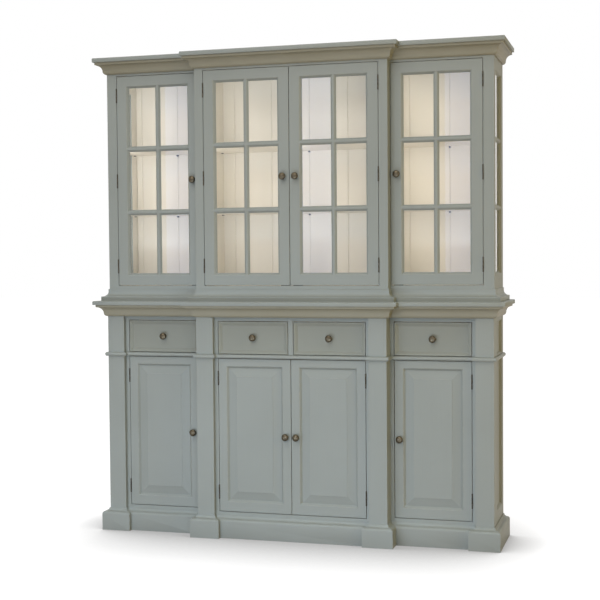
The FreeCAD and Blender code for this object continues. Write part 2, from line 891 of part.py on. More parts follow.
def base_face_frame():
    """Stiles, rails, the drawer divider and the frieze boards behind the crown."""
    side, centre = (side_face, side_inner), (centre_face, centre_inner)
    full = (plinth_top, counter_foot)
    rails = {
        "bottom": (plinth_top, bottom_rail_top),
        "waist": (waist_foot, waist_head),
        "frieze": (frieze_foot, counter_foot),
    }
    crown = (counter_crown_foot, counter_foot)
    middle = (-base_centre_opening, base_centre_opening)
    divider = size("drawer_divider") / 2
    pieces = both_sides("base_outer_stile", (base_side_opening[1], half_case), side, full)
    pieces += both_sides("base_inner_stile", (half_base_centre, base_side_opening[0]), side, full)
    pieces += both_sides("base_centre_stile", (base_centre_opening, half_base_centre), centre, full)
    for name, level in rails.items():
        pieces += both_sides(f"base_{name}_rail", base_side_opening, side, level)
        pieces.append(block(f"base_{name}_rail_centre", middle, centre, level))
    pieces.append(block("drawer_divider_post", (-divider, divider), centre, (waist_head, frieze_foot)))
    pieces += both_sides("frieze_board", (half_base_centre, half_case),
                         (side_pilaster_face, side_face), crown)
    pieces.append(block("frieze_board_centre", (-half_base_centre, half_base_centre),
                        (centre_pilaster_face, centre_face), crown))
    node("base_face_frame", pieces)


def base_pilasters():
    """Four flat pilasters, proud of the face frame."""
    wide = size("pilaster_width")
    level = (plinth_top, counter_crown_foot)
    pieces = both_sides("pilaster_outer", (half_case - wide, half_case),
                        (side_pilaster_face, side_face), level)
    pieces += both_sides("pilaster_inner", (half_base_centre - wide, half_base_centre),
                         (centre_pilaster_face, centre_face), level)
    node("base_pilasters", pieces)


def framed_ends(label, foot, head, front_stile, rear_stile, rails, recess, fill):
    """A framed end on each side: the frames in one node, what fills them in another."""
    width, height = back - side_inner, head - foot
    frames, fills = [], []
    ends = (("left", (rear_stile, front_stile), -90), ("right", (front_stile, rear_stile), 90))
    for name, stiles, turn in ends:
        leaf = Leaf(f"{label}_{name}", width, height, stiles, rails(height))
        members = leaf.members(recess)
        extra, filling = fill(leaf)
        at = (-half_case, back, foot) if turn < 0 else (half_case, side_inner, foot)
        for group, pieces, kind in ((frames, members + extra, "frame"), (fills, filling, "fill")):
            turned = doc.addObject("Part::Compound", f"{label}_{name}_{kind}")
            turned.Links = pieces
            turned.Placement.Rotation = FreeCAD.Rotation(Vector(0, 0, 1), turn)
            group.append(place(turned, *at))
    return frames, fills


def base_ends():
    """The base's ends: two flat panels each, above and below the waist."""
    def rails(height):
        """Bottom, middle and top rails; the middle one is behind the waist bead."""
        middle = (waist_foot + waist_head) / 2 - plinth_top
        half = size("base_end_middle_rail") / 2
        return [
            (NOTHING, size("base_end_bottom_rail")),
            (middle - half, middle + half),
            (height - size("base_end_top_rail"), height),
        ]

    frames, panels = framed_ends(
        "base_end", plinth_top, counter_foot, size("base_end_front_stile"), size("base_end_rear_stile"),
        rails, panel_recess, lambda leaf: ([], flat_panels(leaf)),
    )
    node("base_end_frames", frames)
    node("base_end_panels", panels)


def waist_bead():
    """The half-round bead on the waist rails, pilasters and ends."""
    foot = (waist_foot + waist_head - size("bead_height")) / 2
    moulding("waist_bead", bead_profile(), pilaster_path, foot)


def drawer_runners():
    """Runners that carry the drawers' sides, with guides beside them."""
    rear = back - size("back_panel_thick")
    top = drawer_foot - size("drawer_clearance")
    bar = (top - size("runner_height"), top)
    guide = (top, top + size("guide_height"))
    cover, wide = size("runner_cover"), size("guide_width")
    side_box = drawer_box_span(inside(base_side_opening))
    centre_box = drawer_box_span(inside((size("drawer_divider") / 2, base_centre_opening)))
    slack = size("guide_clearance")
    side, centre = (side_inner, rear), (centre_inner, rear)
    pieces = both_sides("runner_side_inner", (half_base_centre, side_box[0] + cover), side, bar)
    pieces += both_sides("guide_side_inner", (half_base_centre, side_box[0] - slack), side, guide)
    pieces += both_sides("runner_side_outer", (side_box[1] - cover, end_inner), side, bar)
    pieces += both_sides("guide_side_outer", (side_box[1] + slack, side_box[1] + slack + wide), side, guide)
    pieces += both_sides("runner_centre_outer", (centre_box[1] - cover, base_wall), centre, bar)
    guide_foot = centre_box[1] + slack
    pieces += both_sides("guide_centre_outer", (guide_foot, guide_foot + wide), centre, guide)
    middle = centre_box[0] + cover
    pieces.append(block("runner_middle", (-middle, middle), centre, bar))
    pieces.append(block("guide_middle", (slack - centre_box[0], centre_box[0] - slack), centre, guide))
    node("drawer_runners", pieces)


def base_shelves():
    """One shelf in each part of the base, on cleats."""
    rear = back - size("back_panel_thick")
    floor = plinth_top + size("floor_thick")
    level = floor + (waist_foot - floor) / 2
    board = (level, level + size("shelf_thick"))
    cleat = (level - size("cleat"), level)
    front = size("shelf_front_gap")
    side, centre = (side_inner + front, rear), (centre_inner + front, rear)
    pieces = both_sides("base_shelf", (half_base_centre, end_inner), side, board)
    pieces.append(block("base_shelf_centre", (-base_wall, base_wall), centre, board))
    pieces += both_sides("cleat_inner", (half_base_centre, half_base_centre + size("cleat")), side, cleat)
    pieces += both_sides("cleat_outer", (end_inner - size("cleat"), end_inner), side, cleat)
    pieces += both_sides("cleat_centre", (base_wall - size("cleat"), base_wall), centre, cleat)
    node("base_shelves", pieces)


# Fixed pieces of the glazed case

def hutch_boards():
    """Floors and partitions of the glazed case."""
    rear = back - size("back_board_thick")
    floor = (hutch_rail_top - size("floor_thick"), hutch_rail_top)
    boards = both_sides("hutch_floor", (half_hutch_centre, end_inner), (side_inner, rear), floor)
    boards.append(block("hutch_floor_centre", (-hutch_wall, hutch_wall), (centre_inner, rear), floor))
    boards += both_sides("hutch_partition", (hutch_wall, half_hutch_centre), (centre_inner, rear),
                         (counter_top, cap_foot))
    node("hutch_carcass_boards", boards)


def hutch_face_frame():
    """Stiles and rails of the glazed case."""
    side, centre = (side_face, side_inner), (centre_face, centre_inner)
    full = (counter_top, cap_foot)
    pieces = both_sides("hutch_outer_stile", (hutch_side_opening[1], half_case), side, full)
    pieces += both_sides("hutch_centre_stile", (hutch_centre_opening, half_hutch_centre), centre, full)
    middle = (-hutch_centre_opening, hutch_centre_opening)
    for name, level in (("foot", (counter_top, hutch_rail_top)), ("head", (head_rail_foot, cap_foot))):
        pieces += both_sides(f"hutch_{name}_rail", hutch_side_opening, side, level)
        pieces.append(block(f"hutch_{name}_rail_centre", middle, centre, level))
    node("hutch_face_frame", pieces)


def hutch_ends():
    """The glazed case's ends, with bars level with those of the doors."""
    def rails(height):
        """Bottom and top rails that line up with the doors' rails."""
        foot = upper_door_foot + size("glazed_bottom_rail") - counter_top
        head = upper_door_head - size("glazed_top_rail") - counter_top
        return [(NOTHING, foot), (head, height)]

    def fill(leaf):
        """Bars, beads and glass."""
        bars, glass = glazing(leaf, 1, 3)
        return bars, [glass]

    frames, panes = framed_ends(
        "hutch_end", counter_top, cap_foot, size("end_front_stile"), size("end_rear_stile"),
        rails, glazing_recess, fill,
    )
    node("hutch_end_frames", frames)
    node("hutch_end_glass", panes)


def hutch_back_boards():
    """Upright boards with V joints, spread from the middle of each part of the case."""
    bevel = size("board_bevel")
    pitch = half_hutch_centre * size("centre_board_share")
    side_pitch = (end_inner - half_hutch_centre) * size("side_board_share")
    side_middle = (half_hutch_centre + end_inner) / 2
    half = [NOTHING, pitch, pitch * 2]
    half += [side_middle - side_pitch, side_middle, side_middle + side_pitch, end_inner]
    joints = [-x for x in reversed(half[1:])] + half
    front = back - size("back_board_thick")
    level = (counter_top, cap_foot)
    boards = []
    for number, (x0, x1) in enumerate(zip(joints, joints[1:])):
        name = f"back_board_{number}"
        boards.append(fuse(name, [
            taper(f"{name}_face", (x0 + bevel, x1 - bevel, *level), (x0, x1, *level), (front, front + bevel)),
            block(f"{name}_body", (x0, x1), (front + bevel, back), level),
        ]))
    node("hutch_back_boards", boards)


def shelf_levels():
    """The undersides of the two rows of shelves, so that the door bars cover their edges."""
    bar, rails = size("bar_width"), size("glazed_bottom_rail") + size("glazed_top_rail")
    pane = (size("upper_door_height") - rails - bar * 2) / 3
    first = upper_door_foot + size("glazed_bottom_rail") + pane + bar / 2
    return [first - size("shelf_thick") / 2, first + pane + bar - size("shelf_thick") / 2]


def hutch_shelves():
    """Six shelves, and the supports that carry them: four plates and a peg at the back for each."""
    rear = back - size("back_board_thick")
    front = size("shelf_front_gap")
    side, centre = (side_inner + front, rear), (centre_inner + front, rear)
    wide, reach_, plate = size("support_width"), size("support_reach"), size("support_thick")
    inset = size("support_inset")
    shelves, supports = [], []
    side_middle = (half_hutch_centre + end_inner) / 2
    for number, level in enumerate(shelf_levels()):
        board = (level, level + size("shelf_thick"))
        under = (level - plate, level)
        shelves += both_sides(f"hutch_shelf_{number}", (half_hutch_centre, end_inner), side, board)
        shelves.append(block(f"hutch_shelf_centre_{number}", (-hutch_wall, hutch_wall), centre, board))
        for kind, depth in (("side", side), ("centre", centre)):
            rear_end = depth[1] - inset
            ends = {"front": (depth[0], depth[0] + wide), "rear": (rear_end - wide, rear_end)}
            for name, y in ends.items():
                label = f"support_{kind}_{name}_{number}"
                if kind == "side":
                    inner = (half_hutch_centre, half_hutch_centre + reach_)
                    supports += both_sides(f"{label}_inner", inner, y, under)
                    supports += both_sides(f"{label}_outer", (end_inner - reach_, end_inner), y, under)
                else:
                    supports += both_sides(label, (hutch_wall - reach_, hutch_wall), y, under)
        for x in (-side_middle, NOTHING, side_middle):
            peg = doc.addObject("Part::Prism", f"peg_{number}")
            peg.Polygon = PEG_SIDES
            bind(peg, Circumradius=size("peg_radius"), Height=size("peg_length"))
            peg.Placement.Rotation = FreeCAD.Rotation(Vector(1, 0, 0), 90)
            supports.append(place(peg, x, rear, level - size("peg_radius")))
    node("hutch_shelves", shelves)
    node("shelf_supports", supports)


def door_catches():
    """A catch behind the foot of each door's free stile, on the floor of its case."""
    half, deep, tall = size("catch_length") / 2, size("catch_width"), size("catch_height")
    pieces = []
    cases = (
        ("upper", inside(hutch_side_opening), (gap / 2, hutch_centre_opening - gap), hutch_rail_top,
         size("glazed_stile")),
        ("lower", inside(base_side_opening), (gap / 2, base_centre_opening - gap),
         plinth_top + size("floor_thick"), size("panel_stile")),
    )
    for case, side, centre, floor, stile in cases:
        for place_name, x, face, right_hand in quartet(side, centre):
            middle = x[0] + stile / 2 if right_hand else x[1] - stile / 2
            front = face + thick + size("catch_gap")
            pieces.append(block(f"catch_{case}_{place_name}", (middle - half, middle + half),
                                (front, front + deep), (floor, floor + tall)))
    node("door_catches", pieces)


def build():
    """Make every sub-part, from the floor up."""
    base_plinth()
    base_boards()
    base_face_frame()
    base_pilasters()
    base_ends()
    waist_bead()
    drawer_runners()
    base_shelves()
    moulding("counter_moulding", crown_profile(), counter_path, counter_crown_foot)
    overhang = size("counter_overhang")
    slab("counter_top", half_case + overhang, half_base_centre + overhang, side_pilaster_face - overhang,
         centre_pilaster_face - overhang, size("counter_thick"), counter_foot,
         ("Fillet", "Radius", size("counter_round")))
    moulding("hutch_foot_moulding", foot_profile(), hutch_path, counter_top)
    hutch_boards()
    hutch_face_frame()
    hutch_ends()
    hutch_back_boards()
    hutch_shelves()
    moulding("cornice_moulding", crown_profile(), hutch_path, cornice_foot)
    overhang = size("cap_overhang")
    slab("hutch_top", half_case + overhang, half_hutch_centre + overhang, side_face - overhang,
         centre_face - overhang, size("cap_thick"), cap_foot, ("Chamfer", "Size", size("cap_chamfer")))
    door_catches()
    upper_doors()
    lower_doors()
    drawers()
    node("hinge_frame_halves", [shaped("hinge_halves_on_frames", FRAME_HALVES)])
    doc.recompute()


def write_parts():
    """Check every object and write each sub-part to its own file."""
    for item in doc.Objects:
        if "Invalid" in item.State or "Error" in item.State:
            raise RuntimeError(f"{item.Name} did not build: {item.State}")
    for item in NODES:
        if item.Shape.isNull() or not item.Shape.isValid():
            raise RuntimeError(f"{item.Label} has no valid shape")
    os.makedirs("parts", exist_ok=True)
    for item in NODES:
        item.Shape.exportStep(f"parts/{item.Label}.step")
    print(f"{len(NODES)} sub-parts, {sum(len(item.Shape.Solids) for item in NODES)} solids")


build()
write_parts()
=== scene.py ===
"""Breakfront display hutch, dressed: painted boards with eased edges, turned knobs, hinges and glass."""
import json
import logging
import math
from dataclasses import dataclass, field
from enum import Enum

import bmesh
import bpy
from mathutils import Matrix, Vector
from mathutils.bvhtree import BVHTree

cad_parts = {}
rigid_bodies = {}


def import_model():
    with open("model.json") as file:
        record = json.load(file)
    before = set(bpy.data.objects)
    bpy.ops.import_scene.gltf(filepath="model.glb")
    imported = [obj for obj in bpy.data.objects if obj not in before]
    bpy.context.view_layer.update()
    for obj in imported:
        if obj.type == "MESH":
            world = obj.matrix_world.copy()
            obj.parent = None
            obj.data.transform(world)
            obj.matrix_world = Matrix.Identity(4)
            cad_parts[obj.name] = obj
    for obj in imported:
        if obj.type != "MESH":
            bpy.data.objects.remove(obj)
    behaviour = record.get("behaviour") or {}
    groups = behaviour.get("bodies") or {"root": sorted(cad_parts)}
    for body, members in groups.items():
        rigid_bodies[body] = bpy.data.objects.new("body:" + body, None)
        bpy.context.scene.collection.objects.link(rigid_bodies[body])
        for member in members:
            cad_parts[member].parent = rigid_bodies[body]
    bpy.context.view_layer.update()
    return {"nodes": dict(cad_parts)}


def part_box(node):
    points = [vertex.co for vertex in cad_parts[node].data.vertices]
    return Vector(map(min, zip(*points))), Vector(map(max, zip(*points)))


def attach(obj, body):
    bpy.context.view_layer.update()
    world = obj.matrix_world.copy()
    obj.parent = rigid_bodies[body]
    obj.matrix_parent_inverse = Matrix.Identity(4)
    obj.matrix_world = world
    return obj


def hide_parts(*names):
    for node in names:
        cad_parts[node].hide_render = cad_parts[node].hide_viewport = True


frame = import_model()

log = logging.getLogger("hutch")

Colour = tuple[float, float, float]
Pair = tuple[float, float]
Triangle = tuple[Vector, Vector, Vector]
Owner = tuple[str, int]
Edge = bmesh.types.BMEdge
Face = bmesh.types.BMFace
Layer = bmesh.types.BMLayerItem
Material = bpy.types.Material
Node = bpy.types.Node
NodeTree = bpy.types.NodeTree
Piece = bpy.types.Object
Socket = bpy.types.NodeSocket
Number = float | Socket
Inputs = dict[str | int, object]

MM = 0.001
RETURN_DEPTH = -66.0 * MM
CORNER_DIGITS = 6
TOUCH_REACH = 0.15 * MM
GRAIN_MAP = "grain"
EDGE_LAYER = "edge"
USUAL_NOISE = (0.3, 0.7)
PATCH_NOISE = (0.42, 0.66)
WHITE = (1.0, 1.0, 1.0)


class Place(Enum):
    """The four places across the front, from left to right."""

    LEFT = "left"
    CENTRE_LEFT = "centre_left"
    CENTRE_RIGHT = "centre_right"
    RIGHT = "right"

    @property
    def hung_on_right(self) -> bool:
        """True where a door's hinges are on its right."""
        return self in (Place.CENTRE_RIGHT, Place.RIGHT)


class Row(Enum):
    """The two rows of doors, by the first words of their bodies' names."""

    UPPER = "upper_door"
    LOWER = "lower_door"

    @property
    def stile(self) -> float:
        """The width of a door's stiles."""
        return 55.0 * MM if self is Row.UPPER else 47.0 * MM

    @property
    def hinge_count(self) -> int:
        """How many hinges a door has."""
        return 3 if self is Row.UPPER else 2


class SecondFinish(Enum):
    """Which faces of a set of boards have another finish than the rest."""

    NONE = "none"
    TOWARDS_MIDDLE = "towards the middle of the hutch"
    BACKS = "towards the wall"
    RETURNS = "the sides of the breakfront, in front of the side sections"


def put(name: str, data: bpy.types.ID) -> Piece:
    """Add an object to the scene.

    Args:
        name: the object's name.
        data: its mesh, lamp or camera.

    Returns:
        The object.
    """
    made = bpy.data.objects.new(name, data)
    bpy.context.scene.collection.objects.link(made)
    return made


# Node trees

class Web:
    """A node tree with short ways to add and join nodes."""

    def __init__(self, tree: NodeTree) -> None:
        """Keep the tree."""
        self.tree = tree

    def add(self, kind: str, inputs: Inputs | None = None, **settings: object) -> Node:
        """Add a node.

        Args:
            kind: the node's type name.
            inputs: what feeds its inputs, by name or number.
            settings: properties to set on it.

        Returns:
            The node.
        """
        made = self.tree.nodes.new(kind)
        for name, value in settings.items():
            setattr(made, name, value)
        self.fill(made, inputs or {})
        return made

    def fill(self, node: Node, inputs: Inputs) -> None:
        """Feed a node's inputs.

        Args:
            node: the node.
            inputs: for each input's name or number, a value or a socket that gives one.
        """
        for label, value in inputs.items():
            socket = node.inputs[label]
            if isinstance(value, Socket):
                self.link(value, socket)
            else:
                socket.default_value = (*value, 1.0) if socket.type == "RGBA" else value

    def link(self, start: Socket, end: Socket) -> None:
        """Join two sockets."""
        self.tree.links.new(start, end)

    def found(self, kind: str) -> Node:
        """The first node of a type."""
        return next(node for node in self.tree.nodes if node.bl_idname == kind)

    def group(self, shared: NodeTree, **values: float) -> bpy.types.NodeOutputs:
        """Place a shared group with its own values, whose names have underscores for spaces."""
        inputs = {name.replace("_", " "): value for name, value in values.items()}
        return self.add("ShaderNodeGroup", inputs, node_tree=shared).outputs

    def shape(self, kind: str, inputs: Inputs) -> Socket:
        """Add a Geometry Nodes node and give its first output."""
        return self.add(f"GeometryNode{kind}", inputs).outputs[0]

    def math(self, operation: str, first: Number, second: Number = 0.0) -> Socket:
        """Work out a number from one or two others."""
        return self.add("ShaderNodeMath", {0: first, 1: second}, operation=operation).outputs["Value"]

    def point(self, x: Number, y: Number, z: Number) -> Socket:
        """Put three numbers together as a vector."""
        return self.add("ShaderNodeCombineXYZ", {"X": x, "Y": y, "Z": z}).outputs["Vector"]

    def mix(self, factor: Socket, first: Colour | Socket, second: Colour | Socket) -> Socket:
        """Mix two colours.

        Args:
            factor: the socket that drives the mix.
            first: a colour, or a socket that gives one.
            second: the same.

        Returns:
            The mixed colour's socket.
        """
        factor_input, first_input, second_input, result = 0, 6, 7, 2
        inputs = {factor_input: factor, first_input: first, second_input: second}
        return self.add("ShaderNodeMix", inputs, data_type="RGBA").outputs[result]

    def ranged(self, value: Socket, source: Pair, target: Pair, **settings: object) -> Socket:
        """Carry a value over from one range to another.

        Args:
            value: the socket that gives the value.
            source: the range that it comes from.
            target: the range that it goes to.
            settings: properties to set on the node.

        Returns:
            The new value's socket.
        """
        inputs = {"Value": value, "From Min": source[0], "From Max": source[1],
                  "To Min": target[0], "To Max": target[1]}
        return self.add("ShaderNodeMapRange", inputs, **settings).outputs["Result"]

    def span(self, noise: Socket, low: float, high: float) -> Socket:
        """Spread a noise's usual values between two others."""
        return self.ranged(noise, USUAL_NOISE, (low, high))

    def place(self) -> Socket:
        """Where a spot lies on its piece."""
        return self.add("ShaderNodeTexCoord").outputs["Object"]

    def noise(self, where: Socket, scale: Number, detail: float) -> Socket:
        """Noise over a piece, or along its grain."""
        inputs = {"Vector": where, "Scale": scale, "Detail": detail}
        return self.add("ShaderNodeTexNoise", inputs).outputs["Fac"]

    def emboss(self, shader: Node, height: Socket, strength: float, depth: float) -> None:
        """Give a shader a bump of some strength and depth."""
        bump = self.add("ShaderNodeBump", {"Height": height, "Strength": strength, "Distance": depth})
        self.link(bump.outputs["Normal"], shader.inputs["Normal"])

    def show(self, surface: Node) -> None:
        """Put a shader on the material's surface."""
        self.link(surface.outputs["Shader"], self.found("ShaderNodeOutputMaterial").inputs["Surface"])


class Group(Web):
    """A node group with named inputs and outputs."""

    input_types = {float: "NodeSocketFloat", int: "NodeSocketInt", type(None): "NodeSocketMaterial"}

    def __init__(self, name: str, kind: str, inputs: dict[str, float | int | None],
                 outputs: tuple[str, ...], output_type: str = "NodeSocketFloat") -> None:
        """Start a group.

        Args:
            name: the group's name.
            kind: its tree's type name.
            inputs: its inputs and their defaults, with None for a material.
            outputs: its outputs.
            output_type: the outputs' socket type.
        """
        super().__init__(bpy.data.node_groups.new(name, kind))
        self.ids: dict[str, str] = {}
        for label, default in inputs.items():
            socket = self.tree.interface.new_socket(
                name=label, in_out="INPUT", socket_type=self.input_types[type(default)])
            if default is not None:
                socket.default_value = default
            self.ids[label] = socket.identifier
        for label in outputs:
            self.tree.interface.new_socket(name=label, in_out="OUTPUT", socket_type=output_type)
        self.given = self.add("NodeGroupInput").outputs
        self.out = self.add("NodeGroupOutput")


def new_material(name: str) -> tuple[Material, Web, Node]:
    """Make a material with a Principled shader.

    Args:
        name: the material's name.

    Returns:
        The material, its tree and the shader.
    """
    material = bpy.data.materials.new(name)
    material.use_nodes = True
    web = Web(material.node_tree)
    return material, web, web.found("ShaderNodeBsdfPrincipled")


# Shader effects that several finishes share

class ShaderGroups:
    """Node groups that the paints, the wood and the metal share, each built once."""

    def __init__(self) -> None:
        """Build the groups."""
        self.brush_marks = self._brush_marks()
        self.edge_wear = self._edge_wear()

    @staticmethod
    def _brush_marks() -> NodeTree:
        """Streaks along each board with soft mottling over the whole piece.

        Returns:
            A group that gives a streak value, a mottling value and a height.
        """
        web = Group("BrushMarks", "ShaderNodeTree", {"Along": 4.0, "Across": 260.0, "Mottle Scale": 2.6},
                    ("Streak", "Mottle", "Height"))
        grain = web.add("ShaderNodeUVMap", uv_map=GRAIN_MAP).outputs["UV"]
        stretch = web.point(web.given["Along"], web.given["Across"], 0.0)
        laid = web.add("ShaderNodeVectorMath", {0: grain, 1: stretch}, operation="MULTIPLY")
        streaks = web.noise(laid.outputs["Vector"], scale=1.0, detail=3.0)
        mottle = web.noise(web.place(), web.given["Mottle Scale"], detail=4.0)
        web.fill(web.out, {"Streak": streaks, "Mottle": mottle, "Height": streaks})
        return web.tree

    @staticmethod
    def _edge_wear() -> NodeTree:
        """Where handling has rubbed the eased edges, broken up by noise.

        Returns:
            A group that gives a mask.
        """
        web = Group("EdgeWear", "ShaderNodeTree", {"Amount": 0.5, "Patch Scale": 38.0}, ("Mask",))
        edge = web.add("ShaderNodeAttribute", attribute_name=EDGE_LAYER).outputs["Fac"]
        noise = web.noise(web.place(), web.given["Patch Scale"], detail=5.0)
        patches = web.ranged(noise, PATCH_NOISE, (0.0, 1.0))
        mask = web.math("MULTIPLY", web.math("MULTIPLY", edge, patches), web.given["Amount"])
        web.fill(web.out, {"Mask": mask})
        return web.tree


# Finishes

@dataclass(frozen=True)
class PaintFinish:
    """Brushed paint over wood, rubbed at the edges."""

    name: str
    slot: str
    colour: Colour
    shade: Colour
    undercoat: Colour
    roughness: float = 0.46
    smoother: float = 0.05
    rougher: float = 0.07
    specular: float = 0.15
    wear: float = 0.5
    streak_share: float = 0.35
    relief: float = 0.06
    mark_depth: float = 0.6 * MM

    def material(self, groups: ShaderGroups) -> Material:
        """Build the paint.

        Args:
            groups: the shared shader groups.

        Returns:
            The material.
        """
        made, web, shader = new_material(self.name)
        marks = web.group(groups.brush_marks)
        wear = web.group(groups.edge_wear, Amount=self.wear)["Mask"]
        body = web.mix(web.span(marks["Mottle"], 0.0, 1.0), self.shade, self.colour)
        streaked = web.mix(web.span(marks["Streak"], 0.0, self.streak_share), body, self.colour)
        gloss = web.span(marks["Streak"], self.roughness - self.smoother, self.roughness + self.rougher)
        web.fill(shader, {"Base Color": web.mix(wear, streaked, self.undercoat), "Roughness": gloss,
                          "Specular IOR Level": self.specular})
        web.emboss(shader, marks["Height"], self.relief, self.mark_depth)
        return made


@dataclass(frozen=True)
class WoodFinish:
    """Bare sanded wood, with grain along each board."""

    name: str
    slot: str
    early: Colour
    late: Colour
    roughness: float = 0.6
    rougher: float = 0.15
    tone_share: float = 0.4
    relief: float = 0.12
    grain_depth: float = 0.5 * MM

    def material(self, groups: ShaderGroups) -> Material:
        """Build the wood.

        Args:
            groups: the shared shader groups.

        Returns:
            The material.
        """
        made, web, shader = new_material(self.name)
        marks = web.group(groups.brush_marks, Along=1.6, Across=95.0, Mottle_Scale=5.0)
        grain = web.mix(web.span(marks["Streak"], 0.0, 1.0), self.early, self.late)
        toned = web.mix(web.span(marks["Mottle"], 0.0, self.tone_share), grain, self.early)
        gloss = web.span(marks["Streak"], self.roughness, self.roughness + self.rougher)
        web.fill(shader, {"Base Color": toned, "Roughness": gloss})
        web.emboss(shader, marks["Height"], self.relief, self.grain_depth)
        return made


@dataclass(frozen=True)
class MetalFinish:
    """Aged metal, clouded dark and bright, and rubbed bright on its eased edges."""

    name: str
    slot: str
    dark: Colour
    bright: Colour
    roughness: float = 0.36
    duller: float = 0.12
    shinier: float = 0.06
    cloud_share: float = 0.55

    def material(self, groups: ShaderGroups) -> Material:
        """Build the metal.

        Args:
            groups: the shared shader groups.

        Returns:
            The material.
        """
        made, web, shader = new_material(self.name)
        cloud = web.noise(web.place(), scale=160.0, detail=5.0)
        wear = web.group(groups.edge_wear, Amount=0.8, Patch_Scale=220.0)["Mask"]
        mottled = web.mix(web.span(cloud, 0.0, self.cloud_share), self.dark, self.bright)
        gloss = web.span(cloud, self.roughness + self.duller, self.roughness - self.shinier)
        web.fill(shader, {"Base Color": web.mix(wear, mottled, self.bright), "Roughness": gloss,
                          "Metallic": 1.0})
        return made


@dataclass(frozen=True)
class GlassFinish:
    """A thin clear pane that lets lamps through to what is behind it."""

    name: str
    slot: str
    tint: Colour
    index: float = 1.45

    def material(self, groups: ShaderGroups) -> Material:
        """Build the glass.

        Args:
            groups: the shared shader groups, which clear glass doesn't use.

        Returns:
            The material.
        """
        made, web, shader = new_material(self.name)
        web.fill(shader, {"Base Color": self.tint, "Roughness": 0.0, "IOR": self.index,
                          "Transmission Weight": 1.0})
        path = web.add("ShaderNodeLightPath").outputs
        lamp = web.math("MAXIMUM", path["Is Shadow Ray"], path["Is Diffuse Ray"])
        clear = web.add("ShaderNodeBsdfTransparent").outputs["BSDF"]
        web.show(web.add("ShaderNodeMixShader", {0: lamp, 1: shader.outputs["BSDF"], 2: clear}))
        return made


class Finishes:
    """Every finish on the hutch, as materials."""

    def __init__(self) -> None:
        """Build the shared groups and the materials."""
        self.groups = ShaderGroups()
        self.slots: dict[str, str] = {}
        self.paint = self._add(PaintFinish(
            "sage_paint", "paint", colour=(0.288, 0.313, 0.289), shade=(0.264, 0.287, 0.262),
            undercoat=(0.42, 0.42, 0.36)))
        # Painted shade: the drawer fronts' paint is darker and warmer, standing in for the shade under the
        # counter's overhang.
        self.shaded_drawer = self._add(PaintFinish(
            "shaded_drawer_paint", "paint", colour=(0.263, 0.277, 0.239), shade=(0.241, 0.254, 0.217),
            undercoat=(0.40, 0.40, 0.33)))
        # Painted shade: a darker, warmer copy of the paint for the crown mouldings, standing in for the
        # shade and warm bounce light in their coves.
        self.shaded_crown = self._add(PaintFinish(
            "shaded_crown_paint", "paint", colour=(0.296, 0.288, 0.220), shade=(0.264, 0.252, 0.182),
            undercoat=(0.40, 0.39, 0.32)))
        self.cream = self._add(PaintFinish(
            "cream_paint", "cream", colour=(0.735, 0.69, 0.60), shade=(0.685, 0.635, 0.54),
            undercoat=(0.78, 0.74, 0.66), roughness=0.5, wear=0.3))
        self.wood = self._add(WoodFinish(
            "bare_wood", "raw_wood", early=(0.56, 0.40, 0.22), late=(0.38, 0.24, 0.12)))
        self.bronze = self._add(MetalFinish(
            "aged_brass", "bronze", dark=(0.041, 0.033, 0.022), bright=(0.185, 0.153, 0.10)))
        self.iron = self._add(MetalFinish(
            "dark_brass", "bronze", dark=(0.045, 0.039, 0.031), bright=(0.15, 0.125, 0.09)))
        self.black = self._add(MetalFinish(
            "black_iron", "bronze", dark=(0.012, 0.01, 0.008), bright=(0.03, 0.026, 0.02), roughness=0.5))
        self.glass = self._add(GlassFinish("clear_glass", "glass", tint=(0.98, 0.99, 0.985)))

    def _add(self, finish: PaintFinish | WoodFinish | MetalFinish | GlassFinish) -> Material:
        """Build a finish and keep the record's slot that it stands for.

        Args:
            finish: the finish.

        Returns:
            Its material.
        """
        made = finish.material(self.groups)
        self.slots[made.name] = finish.slot
        return made

    def dress(self, piece: Piece, materials: list[Material]) -> None:
        """Give a piece its materials.

        Args:
            piece: the piece.
            materials: its materials, in the order of its faces' numbers.
        """
        held = piece.data.materials
        for number, material in enumerate(materials):
            if number < len(held):
                held[number] = material
            else:
                held.append(material)


# Hardware: Geometry Nodes trees with named sizes

class SizeTree(Group):
    """A Geometry Nodes tree with named inputs, turned into plain meshes."""

    def __init__(self, name: str, inputs: dict[str, float | int | None]) -> None:
        """Start a tree that gives a shape."""
        super().__init__(name, "GeometryNodeTree", inputs, ("Geometry",), "NodeSocketGeometry")

    def close(self, geometry: Socket) -> None:
        """End the tree: smooth shading, real geometry and the finish.

        Args:
            geometry: the socket that gives the shape.
        """
        smooth = self.shape("SetShadeSmooth", {"Geometry": geometry})
        real = self.shape("RealizeInstances", {"Geometry": smooth})
        finished = self.shape("SetMaterial", {"Geometry": real, "Material": self.given["Finish"]})
        self.fill(self.out, {"Geometry": finished})

    def piece(self, name: str, place: Vector, **values: object) -> Piece:
        """Make a plain mesh from the tree.

        Args:
            name: the new piece's name.
            place: where its origin goes, which is then in its mesh.
            values: inputs to set, with underscores for spaces.

        Returns:
            The piece.
        """
        holder = put(f"{name}_tree", bpy.data.meshes.new(f"{name}_tree"))
        modifier = holder.modifiers.new("sizes", "NODES")
        modifier.node_group = self.tree
        for label, value in values.items():
            modifier[self.ids[label.replace("_", " ")]] = value
        bpy.context.view_layer.update()
        graph = bpy.context.evaluated_depsgraph_get()
        data = bpy.data.meshes.new_from_object(holder.evaluated_get(graph), depsgraph=graph)
        data.name = name
        data.transform(Matrix.Translation(place))
        bpy.data.objects.remove(holder)
        return put(name, data)


